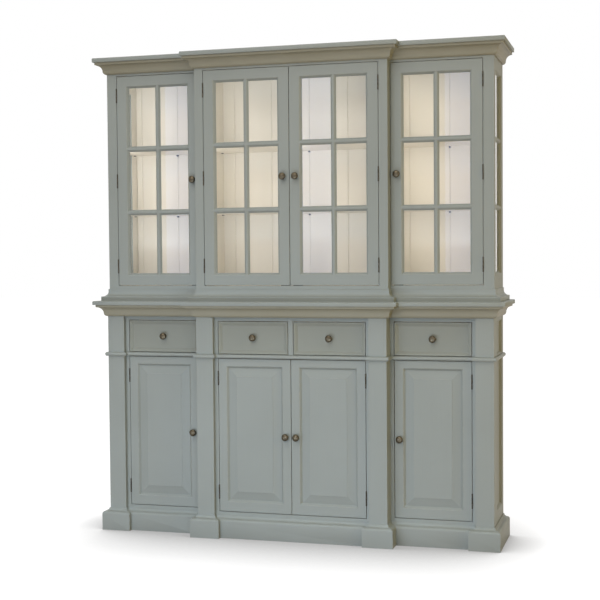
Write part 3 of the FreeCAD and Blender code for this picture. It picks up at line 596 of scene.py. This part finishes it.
@dataclass
class TurnedKnob:
    """A turned knob: rosette, waisted neck and domed head, its axis towards the front."""

    head_radius: float = 16.0 * MM
    reach: float = 27.0 * MM
    rings: int = 64
    sides: int = 40
    weld: float = 0.01 * MM
    turned: tuple[Pair, ...] = (
        (0.004, 0.56), (0.08, 0.58), (0.105, 0.5), (0.16, 0.40), (0.32, 0.38), (0.42, 0.52),
        (0.50, 0.80), (0.60, 0.96), (0.70, 1.0), (0.82, 0.92), (0.92, 0.68), (0.98, 0.34),
    )

    def tree(self) -> SizeTree:
        """Build the tree that turns the knob out of a grid.

        Returns:
            The tree.
        """
        web = SizeTree("TurnedKnob", {"Head Radius": self.head_radius, "Reach": self.reach,
                                      "Rings": self.rings, "Sides": self.sides, "Finish": None})
        given = web.given
        half_grid = 0.5
        grid = web.shape("MeshGrid", {"Vertices X": given["Rings"], "Vertices Y": given["Sides"]})
        parts = web.add("ShaderNodeSeparateXYZ", {"Vector": web.shape("InputPosition", {})}).outputs
        height = web.math("ADD", parts["X"], half_grid)
        turn = web.math("MULTIPLY", web.math("ADD", parts["Y"], half_grid), -2.0 * math.pi)
        radius = web.math("MULTIPLY", self._radius_share(web, height), given["Head Radius"])
        spot = web.point(
            web.math("MULTIPLY", radius, web.math("COSINE", turn)),
            web.math("MULTIPLY", web.math("MULTIPLY", height, given["Reach"]), -1.0),
            web.math("MULTIPLY", radius, web.math("SINE", turn)),
        )
        rolled = web.shape("SetPosition", {"Geometry": grid, "Position": spot})
        web.close(web.shape("MergeByDistance", {"Geometry": rolled, "Distance": self.weld}))
        return web

    def _radius_share(self, web: Web, height: Socket) -> Socket:
        """The knob's radius against its height, both as shares of the largest.

        Args:
            web: the tree to build in.
            height: the socket that gives the height.

        Returns:
            The radius's socket.
        """
        curve = web.add("ShaderNodeFloatCurve", {"Value": height})
        line = curve.mapping.curves[0]
        foot, head = line.points[0], line.points[1]
        foot.location = (0.0, 0.0)
        head.location = (1.0, 0.0)
        for share, radius in self.turned:
            line.points.new(share, radius)
        curve.mapping.update()
        return curve.outputs["Value"]


@dataclass
class ButtHinge:
    """One half of a row of butt hinges: knuckles on the pin, end caps and the leaf in the door's gap."""

    length: float = 64.0 * MM
    radius: float = 2.6 * MM
    proud: float = 3.4 * MM
    neck: float = 2.2 * MM
    leaf_width: float = 16.0 * MM
    leaf_thick: float = 1.1 * MM
    leaf_clearance: float = 0.15 * MM
    play: float = 0.3 * MM
    cap_swell: float = 1.12
    cap_inset: float = 2.0 * MM
    cap_count: int = 2
    barrel_sides: int = 20
    cap_segments: int = 16
    cap_rings: int = 8

    @property
    def third(self) -> float:
        """The room that each of the three knuckles has on the pin."""
        return self.length / 3

    def tree(self) -> SizeTree:
        """Build the tree that repeats knuckles on a hinge and hinges on a door.

        Returns:
            The tree.
        """
        web = SizeTree("HingeHalf", {
            "Hinges": 2, "Spacing": 0.5, "Knuckles": 1, "Knuckle Pitch": self.length,
            "Knuckle Length": self.third, "First Knuckle": 0.0, "Leaf Side": 1.0, "Cap Radius": 0.0,
            "Finish": None})
        given = web.given
        barrel = web.shape("MeshCylinder", {
            "Vertices": self.barrel_sides, "Radius": self.radius, "Depth": given["Knuckle Length"]})
        ball = web.shape("MeshUVSphere", {
            "Segments": self.cap_segments, "Rings": self.cap_rings, "Radius": given["Cap Radius"]})
        leaf = web.shape("MeshCube", {"Size": (self.leaf_thick, self.leaf_width + self.neck, self.length)})
        aside = web.math("MULTIPLY", given["Leaf Side"], self.leaf_thick / 2 + self.leaf_clearance)
        depth = self.proud + (self.leaf_width - self.neck) / 2
        half = web.add("GeometryNodeJoinGeometry")
        for geometry in (
                self._row(web, barrel, given["Knuckles"], given["Knuckle Pitch"], given["First Knuckle"]),
                self._row(web, ball, self.cap_count, self.length - 2 * self.cap_inset, self.cap_inset),
                web.shape("Transform", {
                    "Geometry": leaf, "Translation": web.point(aside, depth, self.length / 2)})):
            web.link(geometry, half.inputs["Geometry"])
        web.close(self._row(web, half.outputs["Geometry"], given["Hinges"], given["Spacing"], 0.0))
        return web

    @staticmethod
    def _row(web: Web, shape: Socket, count: int | Socket, pitch: Number, start: Number) -> Socket:
        """Repeat a shape up a line.

        Args:
            web: the tree to build in.
            shape: what is repeated.
            count: how many, as a number or a socket.
            pitch: how far apart, as a number or a socket.
            start: the first one's height, as a number or a socket.

        Returns:
            The row's socket.
        """
        first, step = web.point(0.0, 0.0, start), web.point(0.0, 0.0, pitch)
        line = web.shape("MeshLine", {"Count": count, "Start Location": first, "Offset": step})
        placed = web.shape("InstanceOnPoints", {"Points": line, "Instance": shape})
        return web.shape("RealizeInstances", {"Geometry": placed})


# Boards: copies of the CAD solids with eased edges

class Solids:
    """The closed solids of every node, with a search tree over all of them."""

    def __init__(self, nodes: dict[str, Piece]) -> None:
        """Split every node's triangles into closed solids.

        Args:
            nodes: the frame's nodes by name.
        """
        self.by_node = {name: self._split(piece.data) for name, piece in nodes.items()}
        corners: list[Vector] = []
        faces: list[tuple[int, int, int]] = []
        self.owner: list[Owner] = []
        for name, solids in self.by_node.items():
            for number, triangles in enumerate(solids):
                for triangle in triangles:
                    start = len(corners)
                    corners.extend(triangle)
                    faces.append((start, start + 1, start + 2))
                    self.owner.append((name, number))
        self.tree = BVHTree.FromPolygons(corners, faces)

    @staticmethod
    def _split(mesh: bpy.types.Mesh) -> list[list[Triangle]]:
        """Part a node's triangles where a shell closes.

        Args:
            mesh: the node's mesh, whose solids follow each other.

        Returns:
            The triangles of each solid.
        """
        solids: list[list[Triangle]] = []
        current: list[Triangle] = []
        unmatched: dict[tuple, int] = {}
        for polygon in mesh.polygons:
            corners = tuple(mesh.vertices[index].co.copy() for index in polygon.vertices)
            keys = [corner.to_tuple(CORNER_DIGITS) for corner in corners]
            for start, end in zip(keys, keys[1:] + keys[:1]):
                if unmatched.get((end, start)):
                    unmatched[(end, start)] -= 1
                    if not unmatched[(end, start)]:
                        del unmatched[(end, start)]
                else:
                    unmatched[(start, end)] = unmatched.get((start, end), 0) + 1
            current.append(corners)
            if not unmatched:
                solids.append(current)
                current = []
        return solids

    def touches_another(self, point: Vector, owner: Owner) -> bool:
        """True if a point of one solid lies on the surface of another."""
        hits = self.tree.find_nearest_range(point, TOUCH_REACH)
        return any(self.owner[index] != owner for _, _, index, _ in hits)


def edges_of(faces: list[Face]) -> list[Edge]:
    """The edges of some faces, each once and in the same order on every run."""
    return list(dict.fromkeys(edge for face in faces for edge in face.edges))


class Shop:
    """What every sub-assembly is made with: finishes, the frame's solids and the hardware's trees."""

    def __init__(self) -> None:
        """Get everything ready."""
        self.finishes = Finishes()
        self.solids = Solids(frame["nodes"])
        self.knobs = TurnedKnob().tree()
        self.hinge = ButtHinge()
        self.hinges = self.hinge.tree()


@dataclass
class EasedBoards:
    """The boards of one node, with small rounds on their open edges and grain along each board."""

    node: str
    body: str
    outer: Material
    second: Material | None = None
    second_faces: SecondFinish = SecondFinish.NONE
    ease: float = 0.9 * MM
    steps: int = 2
    round_profile: float = 0.5
    flat_angle: float = math.radians(0.4)
    corner_angle: float = math.radians(24.0)
    smooth_angle: float = math.radians(4.0)
    open_joints: bool = False
    sample_shares: tuple[float, ...] = (0.12, 0.5, 0.88)
    samples_when_joined: int = 2
    grain_shift: Pair = (0.73, 0.31)
    squarely: float = 0.9
    partly: float = 0.3
    mesh: bmesh.types.BMesh = field(default_factory=bmesh.new)

    def fit(self, shop: Shop) -> None:
        """Build the boards, dress them and put them in the node's place.

        Args:
            shop: what they are made with.
        """
        piece = self._build(shop.solids)
        shop.finishes.dress(piece, [self.outer] + ([self.second] if self.second else []))
        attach(piece, self.body)
        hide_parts(self.node)
        log.info("%s: eased by %.1f mm", self.node, self.ease / MM)

    def _build(self, solids: Solids) -> Piece:
        """Make the boards' mesh.

        Args:
            solids: the frame's solids.

        Returns:
            The new piece.
        """
        edge_layer = self.mesh.faces.layers.float.new(EDGE_LAYER)
        grain = self.mesh.loops.layers.uv.new(GRAIN_MAP)
        for number, triangles in enumerate(solids.by_node[self.node]):
            others = set(self.mesh.faces)
            self._weld(triangles)
            self._round(self._open_edges(self._board(others), solids, (self.node, number)), edge_layer)
            if self.second_faces is SecondFinish.RETURNS:
                self._cut_behind_return(self._board(others))
            self._lay_grain(self._board(others), grain, number)
        self._mark_corners()
        data = bpy.data.meshes.new(f"{self.node}_eased")
        self.mesh.to_mesh(data)
        self.mesh.free()
        return put(f"{self.node}_eased", data)

    def _board(self, others: set[Face]) -> list[Face]:
        """The faces of the board in hand, which aren't other boards' faces."""
        return [face for face in self.mesh.faces if face not in others]

    def _weld(self, triangles: list[Triangle]) -> None:
        """Join one solid's triangles at their corners and merge flat neighbours.

        Args:
            triangles: the solid's triangles.
        """
        corners: dict[tuple, bmesh.types.BMVert] = {}
        made: list[Face] = []
        for triangle in triangles:
            points = []
            for corner in triangle:
                key = corner.to_tuple(CORNER_DIGITS)
                if key not in corners:
                    corners[key] = self.mesh.verts.new(corner)
                points.append(corners[key])
            if len(set(points)) == len(points):
                made.append(self.mesh.faces.new(points))
        bmesh.ops.dissolve_limit(self.mesh, angle_limit=self.flat_angle, verts=list(corners.values()),
                                 edges=edges_of(made))

    def _open_edges(self, board: list[Face], solids: Solids, owner: Owner) -> list[Edge]:
        """The corners of a board that no other board lies against.

        Args:
            board: the board's faces.
            solids: the frame's solids.
            owner: the node and the number of this board's solid.

        Returns:
            The edges to round.
        """
        found = []
        for edge in edges_of(board):
            sharp = len(edge.link_faces) == 2 and edge.calc_face_angle(0.0) > self.corner_angle
            if not sharp or edge.is_convex is False:
                continue
            start, end = (vert.co for vert in edge.verts)
            samples = [start.lerp(end, share) for share in self.sample_shares]
            joined = sum(solids.touches_another(sample, owner) for sample in samples)
            if self.open_joints or joined < self.samples_when_joined:
                found.append(edge)
        return found

    def _round(self, edges: list[Edge], edge_layer: Layer) -> None:
        """Round the open edges and mark the new faces as edges that wear.

        Args:
            edges: the edges to round.
            edge_layer: the layer that marks worn faces.
        """
        if not edges:
            return
        made = bmesh.ops.bevel(self.mesh, geom=edges, offset=self.ease, segments=self.steps,
                               profile=self.round_profile, affect="EDGES", clamp_overlap=True)
        for face in made["faces"]:
            face[edge_layer] = 1.0

    def _cut_behind_return(self, board: list[Face]) -> None:
        """Cut a board's faces where the side section's face frame meets it.

        Args:
            board: the board's faces.
        """
        corners = dict.fromkeys(vert for face in board for vert in face.verts)
        bmesh.ops.bisect_plane(self.mesh, geom=[*board, *edges_of(board), *corners],
                               plane_co=(0.0, RETURN_DEPTH, 0.0), plane_no=(0.0, 1.0, 0.0))

    def _lay_grain(self, board: list[Face], grain: Layer, number: int) -> None:
        """Run the grain map along the board's longest side, in metres, shifted from board to board.

        Args:
            board: the board's faces.
            grain: the grain map's layer.
            number: the board's number in its node.
        """
        points = [vert.co for face in board for vert in face.verts]
        spans = [max(p[axis] for p in points) - min(p[axis] for p in points) for axis in range(3)]
        long_axis = spans.index(max(spans))
        shift = Vector(self.grain_shift) * number
        for face in board:
            flat = max(range(3), key=lambda axis: abs(face.normal[axis]))
            axes = [axis for axis in range(3) if axis != flat]
            along = long_axis if long_axis in axes else axes[0]
            across = next(axis for axis in axes if axis != along)
            for loop in face.loops:
                loop[grain].uv = Vector((loop.vert.co[along], loop.vert.co[across])) + shift

    def _mark_corners(self) -> None:
        """Smooth the round mouldings, keep the corners crisp and number the faces' finishes."""
        for face in self.mesh.faces:
            face.smooth = True
            face.material_index = int(self._has_second(face))
        for edge in self.mesh.edges:
            edge.smooth = edge.calc_face_angle(0.0) < self.smooth_angle

    def _has_second(self, face: Face) -> bool:
        """True for a face that has the second finish.

        Args:
            face: the face.

        Returns:
            Whether the second finish goes on it.
        """
        centre = face.calc_center_median()
        outward = face.normal.x * math.copysign(1.0, centre.x)
        if self.second_faces is SecondFinish.TOWARDS_MIDDLE:
            return outward < -self.squarely
        if self.second_faces is SecondFinish.BACKS:
            return face.normal.y > self.squarely
        if self.second_faces is SecondFinish.RETURNS:
            return centre.y < RETURN_DEPTH and (outward > self.partly or face.normal.y < -self.partly)
        return False


# Sub-assemblies

@dataclass
class Door:
    """One door: its eased frame, its panel or glass, its knob and its hinges."""

    row: Row
    place: Place
    hinge_inset: float = 88.0 * MM
    gap: float = 2.5 * MM

    @property
    def name(self) -> str:
        """The door's body."""
        return f"{self.row.value}_{self.place.value}"

    def build(self, shop: Shop) -> None:
        """Make the door's pieces.

        Args:
            shop: what they are made with.
        """
        finishes, hinge, count = shop.finishes, shop.hinge, self.row.hinge_count
        EasedBoards(f"{self.name}_frame", self.name, finishes.paint).fit(shop)
        if self.row is Row.UPPER:
            finishes.dress(frame["nodes"][f"{self.name}_glass"], [finishes.glass])
        else:
            EasedBoards(f"{self.name}_panel", self.name, finishes.paint).fit(shop)
        low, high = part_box(f"{self.name}_frame")
        if self.place.hung_on_right:
            free, axis, door_side = low.x + self.row.stile / 2, high.x + self.gap / 2, -1.0
        else:
            free, axis, door_side = high.x - self.row.stile / 2, low.x - self.gap / 2, 1.0
        seat = Vector((free, low.y, (low.z + high.z) / 2))
        knob = shop.knobs.piece(f"{self.name}_turned_knob", seat, Finish=finishes.bronze)
        pin = Vector((axis, low.y - hinge.proud, low.z + self.hinge_inset - hinge.length / 2))
        rise = high.z - low.z - 2 * self.hinge_inset
        shared = {"Hinges": count, "Spacing": rise / (count - 1),
                  "Knuckle_Length": hinge.third - hinge.play, "Finish": finishes.iron}
        moving = shop.hinges.piece(f"{self.name}_hinge_knuckles", pin, Knuckles=1,
                                   First_Knuckle=hinge.length / 2, Leaf_Side=door_side, **shared)
        fixed = shop.hinges.piece(f"{self.name}_hinge_posts", pin, Knuckles=2,
                                  Knuckle_Pitch=2 * hinge.third, First_Knuckle=hinge.third / 2,
                                  Leaf_Side=-door_side,
                                  Cap_Radius=hinge.radius * hinge.cap_swell, **shared)
        for piece, body, node in ((knob, self.name, f"{self.name}_fittings"),
                                  (moving, self.name, f"{self.name}_fittings"),
                                  (fixed, "cabinet", "hinge_frame_halves")):
            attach(piece, body)
            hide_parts(node)
        log.info("%s: frame, filling, knob and %d hinges", self.name, count)


@dataclass
class Drawer:
    """One drawer: its fielded front, its box of bare boards and its knob."""

    place: Place

    def build(self, shop: Shop) -> None:
        """Make the drawer's pieces.

        Args:
            shop: what they are made with.
        """
        name = f"drawer_{self.place.value}"
        # The front takes the darker paint: painted shade from the counter's overhang above.
        EasedBoards(f"{name}_front", name, shop.finishes.shaded_drawer).fit(shop)
        EasedBoards(f"{name}_box", name, shop.finishes.wood).fit(shop)
        low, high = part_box(f"{name}_knob")
        seat = Vector(((low.x + high.x) / 2, high.y, (low.z + high.z) / 2))
        knob = shop.knobs.piece(f"{name}_turned_knob", seat, Finish=shop.finishes.bronze)
        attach(knob, name)
        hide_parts(f"{name}_knob")
        log.info("%s: front, box and knob", name)


@dataclass
class Cases:
    """The fixed pieces of the base and the glass-fronted case."""

    moulded: tuple[str, ...] = (
        "base_plinth", "waist_bead", "counter_top", "hutch_foot_moulding", "hutch_top",
    )
    crowns: tuple[str, ...] = ("counter_moulding", "cornice_moulding")
    painted: tuple[str, ...] = ("base_end_frames", "base_end_panels", "base_face_frame", "base_pilasters")
    cream: tuple[str, ...] = ("hutch_shelves",)
    bare: tuple[str, ...] = ("base_back", "drawer_runners", "base_shelves")
    pegs: tuple[str, ...] = ("shelf_supports",)
    catches: tuple[str, ...] = ("door_catches",)
    moulding_angle: float = math.radians(24.0)

    def build(self, shop: Shop) -> None:
        """Make every fixed piece.

        Args:
            shop: what they are made with.
        """
        finishes = shop.finishes
        # The crown mouldings take the darker, warmer paint: painted shade in their coves.
        for names, finish in ((self.moulded, finishes.paint), (self.crowns, finishes.shaded_crown)):
            for name in names:
                EasedBoards(name, "cabinet", finish, smooth_angle=self.moulding_angle).fit(shop)
        for names, finish in ((self.painted, finishes.paint), (self.cream, finishes.cream),
                              (self.bare, finishes.wood), (self.pegs, finishes.black),
                              (self.catches, finishes.iron)):
            for name in names:
                EasedBoards(name, "cabinet", finish).fit(shop)
        EasedBoards("hutch_back_boards", "cabinet", finishes.cream, finishes.wood, SecondFinish.BACKS,
                    open_joints=True).fit(shop)
        for name, finish, second, faces in (
                ("hutch_end_frames", finishes.paint, finishes.cream, SecondFinish.TOWARDS_MIDDLE),
                ("hutch_face_frame", finishes.paint, finishes.cream, SecondFinish.BACKS),
                ("hutch_carcass_boards", finishes.cream, finishes.paint, SecondFinish.RETURNS),
                ("base_carcass_boards", finishes.wood, finishes.paint, SecondFinish.RETURNS)):
            EasedBoards(name, "cabinet", finish, second, faces).fit(shop)
        finishes.dress(frame["nodes"]["hutch_end_glass"], [finishes.glass])
        log.info("hutch_end_glass: dressed")


# Studio

@dataclass(frozen=True)
class Lamp:
    """A soft rectangular lamp."""

    name: str
    place: Vector
    aim: Vector
    size: Pair
    watts: float
    colour: Colour = WHITE
    spread: float = 180.0

    def build(self) -> None:
        """Add the lamp to the scene."""
        data = bpy.data.lights.new(self.name, "AREA")
        data.shape = "RECTANGLE"
        data.size, data.size_y = self.size
        data.energy = self.watts
        data.color = self.colour
        data.spread = math.radians(self.spread)
        lamp = put(self.name, data)
        lamp.location = self.place
        lamp.rotation_mode = "QUATERNION"
        lamp.rotation_quaternion = (self.aim - self.place).to_track_quat("-Z", "Y")


@dataclass
class CaseLamps:
    """Dim strip lamps behind both stiles of the glass doors, turned towards the back."""

    watts: float = 0.54
    door_shares: dict[Place, float] = field(default_factory=lambda: {
        Place.LEFT: 1.1, Place.CENTRE_LEFT: 0.98, Place.CENTRE_RIGHT: 1.1, Place.RIGHT: 0.82})
    side_shares: Pair = (1.15, 0.68)
    turns: Pair = (0.15, -0.8)
    backward: float = 0.8
    inset: float = 26.0 * MM
    set_back: float = 18.0 * MM
    width: float = 40.0 * MM
    height_share: float = 0.88
    raised: float = 0.56
    spread: float = 130.0

    def build(self) -> None:
        """Add a left and a right strip to each door."""
        for place, door_share in self.door_shares.items():
            low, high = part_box(f"upper_door_{place.value}_frame")
            size = (self.width, self.height_share * (high.z - low.z))
            level = low.z * (1.0 - self.raised) + high.z * self.raised
            sides = zip(("left", "right"), (low.x + self.inset, high.x - self.inset), self.turns,
                        self.side_shares)
            for side, across, turn, share in sides:
                spot = Vector((across, high.y + self.set_back, level))
                aim = spot + Vector((turn, self.backward, 0.0))
                Lamp(f"{place.value}_{side}_case_lamp", spot, aim, size, share * door_share * self.watts,
                     spread=self.spread).build()


@dataclass
class PhotoCamera:
    """The camera at the photograph's viewing angle."""

    place: Vector = field(default_factory=lambda: Vector((1.573, -5.4048, 1.275)))
    yaw: float = 0.2823
    pitch: float = -0.0354
    roll: float = -0.0078
    focal_pixels: float = 1234.5
    image_pixels: float = 600.0
    sensor: float = 36.0

    def build(self) -> None:
        """Place the camera and set its lens."""
        level = math.cos(self.pitch)
        forward = Vector((-math.sin(self.yaw) * level, math.cos(self.yaw) * level, math.sin(self.pitch)))
        right = Vector((math.cos(self.yaw), math.sin(self.yaw), 0.0))
        up = right.cross(forward)
        across = right * math.cos(self.roll) + up * math.sin(self.roll)
        upward = up * math.cos(self.roll) - right * math.sin(self.roll)
        turn = Matrix((across, upward, -forward)).transposed()
        data = bpy.data.cameras.new("camera")
        data.sensor_width = self.sensor
        data.lens = self.focal_pixels / self.image_pixels * self.sensor
        camera = put("camera", data)
        camera.matrix_world = Matrix.Translation(self.place) @ turn.to_4x4()
        bpy.context.scene.camera = camera


def seen_rays(web: Web) -> Socket:
    """A socket that is 1 on rays from the camera and those that metal or glass sends on.

    Args:
        web: the tree to build in.

    Returns:
        The socket.
    """
    path = web.add("ShaderNodeLightPath").outputs
    seen = path["Is Camera Ray"]
    for ray in ("Is Glossy Ray", "Is Transmission Ray"):
        seen = web.math("MAXIMUM", seen, path[ray])
    return seen


@dataclass
class Floor:
    """A pale floor that looks white and sends up warm light, with the hutch's shadow partly real and
    mostly painted into its glow.
    """

    size: float = 30.0
    tone: Colour = (0.12, 0.12, 0.12)
    bounce: Colour = (0.42, 0.29, 0.15)
    roughness: float = 0.9
    specular: float = 0.1
    lift: float = 1.0
    shadow_depth: float = 0.36
    shadow_samples: int = 16
    openness: Pair = (0.5, 0.97)
    reach: float = 0.72
    reach_at_ends: float = 0.3
    ends: Pair = (0.86, 1.14)

    def build(self) -> None:
        """Lay the floor."""
        data = bpy.data.meshes.new("floor")
        corners = [(self.size * x, self.size * y, 0.0) for x, y in ((-1, -1), (1, -1), (1, 1), (-1, 1))]
        data.from_pydata(corners, [], [(0, 1, 2, 3)])
        data.materials.append(self._material())
        floor = put("floor", data)

    def _material(self) -> Material:
        """Build the floor's paint and the glow that makes it look white, dimmed near the hutch by ambient
        occlusion as a painted shadow.

        Returns:
            The material.
        """
        material, web, shader = new_material("pale_floor")
        seen = seen_rays(web)
        web.fill(shader, {"Base Color": web.mix(seen, self.bounce, self.tone), "Roughness": self.roughness,
                          "Specular IOR Level": self.specular})
        # Painted shadow: ambient occlusion dims the glow near the hutch.
        shade = web.add("ShaderNodeAmbientOcclusion", {"Distance": self._shadow_reach(web)},
                        samples=self.shadow_samples)
        level = web.ranged(shade.outputs["AO"], self.openness, (self.shadow_depth, self.lift))
        glow = web.add("ShaderNodeEmission", {"Strength": web.math("MULTIPLY", seen, level)})
        web.show(web.add("ShaderNodeAddShader", {0: shader.outputs["BSDF"], 1: glow.outputs["Emission"]}))
        return material

    def _shadow_reach(self, web: Web) -> Socket:
        """How far the painted shadow reaches from the hutch: less beside its ends than in front of it.

        Args:
            web: the tree to build in.

        Returns:
            The socket that gives the distance.
        """
        across = web.add("ShaderNodeSeparateXYZ", {"Vector": web.place()}).outputs["X"]
        return web.ranged(web.math("ABSOLUTE", across), self.ends, (self.reach, self.reach_at_ends),
                          interpolation_type="SMOOTHSTEP")


@dataclass
class Studio:
    """The camera, soft lamps, a pale floor and a white surround."""

    middle: Vector = field(default_factory=lambda: Vector((0.0, 0.0, 1.1)))
    ambient: Colour = (0.18, 0.165, 0.14)
    daylight: Colour = (1.0, 0.955, 0.94)
    skylight: Colour = (0.66, 0.80, 1.0)
    lamplight: Colour = (1.0, 0.78, 0.36)
    strip_light: Colour = (0.35, 0.50, 1.0)
    strip_watts: float = 4.8
    strip_size: Pair = (0.36, 2.4)
    strips_across: tuple[float, ...] = (-2.62, -1.32, -0.02)
    strip_depth: float = -5.4
    strip_height: float = 2.0

    def build(self) -> None:
        """Set the camera, the lamps, the floor and the world."""
        PhotoCamera().build()
        for lamp in self._lamps() + self._strips():
            lamp.build()
        CaseLamps().build()
        Floor().build()
        self._world()

    def _lamps(self) -> list[Lamp]:
        """The lamps in front of the hutch, above it, beside it and behind it.

        Returns:
            The lamps.
        """
        return [
            Lamp("key_lamp", place=Vector((-0.8, -8.0, 4.5)), aim=self.middle, size=(3.6, 2.4),
                 watts=172.0, colour=self.daylight),
            Lamp("top_lamp", place=Vector((-0.6, -2.7, 5.5)), aim=self.middle, size=(4.0, 3.0),
                 watts=112.0),
            Lamp("low_lamp", place=Vector((-0.2, -2.3, 0.22)), aim=Vector((-0.2, 0.0, 0.22)),
                 size=(3.0, 0.36), watts=34.0, colour=self.skylight),
            Lamp("side_lamp", place=Vector((4.1, -1.3, 1.7)), aim=self.middle, size=(1.8, 2.0),
                 watts=43.0, colour=self.lamplight),
            Lamp("back_lamp", place=Vector((-2.2, 6.5, 4.2)), aim=self.middle, size=(3.0, 3.0),
                 watts=200.0),
        ]

    def _strips(self) -> list[Lamp]:
        """Tall dim strips, which the panes mirror as pale windows.

        Returns:
            The lamps.
        """
        inward = Vector((0.0, 1.0, 0.0))
        places = [Vector((across, self.strip_depth, self.strip_height)) for across in self.strips_across]
        return [Lamp(f"strip_lamp_{number}", place, place + inward, self.strip_size, self.strip_watts,
                     self.strip_light) for number, place in enumerate(places)]

    def _world(self) -> None:
        """White where it is seen, and a softer light on everything else."""
        world = bpy.data.worlds.new("surround")
        world.use_nodes = True
        bpy.context.scene.world = world
        web = Web(world.node_tree)
        colour = web.mix(seen_rays(web), self.ambient, WHITE)
        web.fill(web.found("ShaderNodeBackground"), {"Color": colour, "Strength": 1.0})


def main() -> None:
    """Build the hutch's looks and the studio."""
    logging.basicConfig(level=logging.INFO, format="%(name)s: %(message)s")
    bpy.context.scene.view_settings.view_transform = "Standard"
    shop = Shop()
    Cases().build(shop)
    for place in Place:
        for row in Row:
            Door(row, place).build(shop)
        Drawer(place).build(shop)
    Studio().build()


if __name__ == "__main__":
    main()
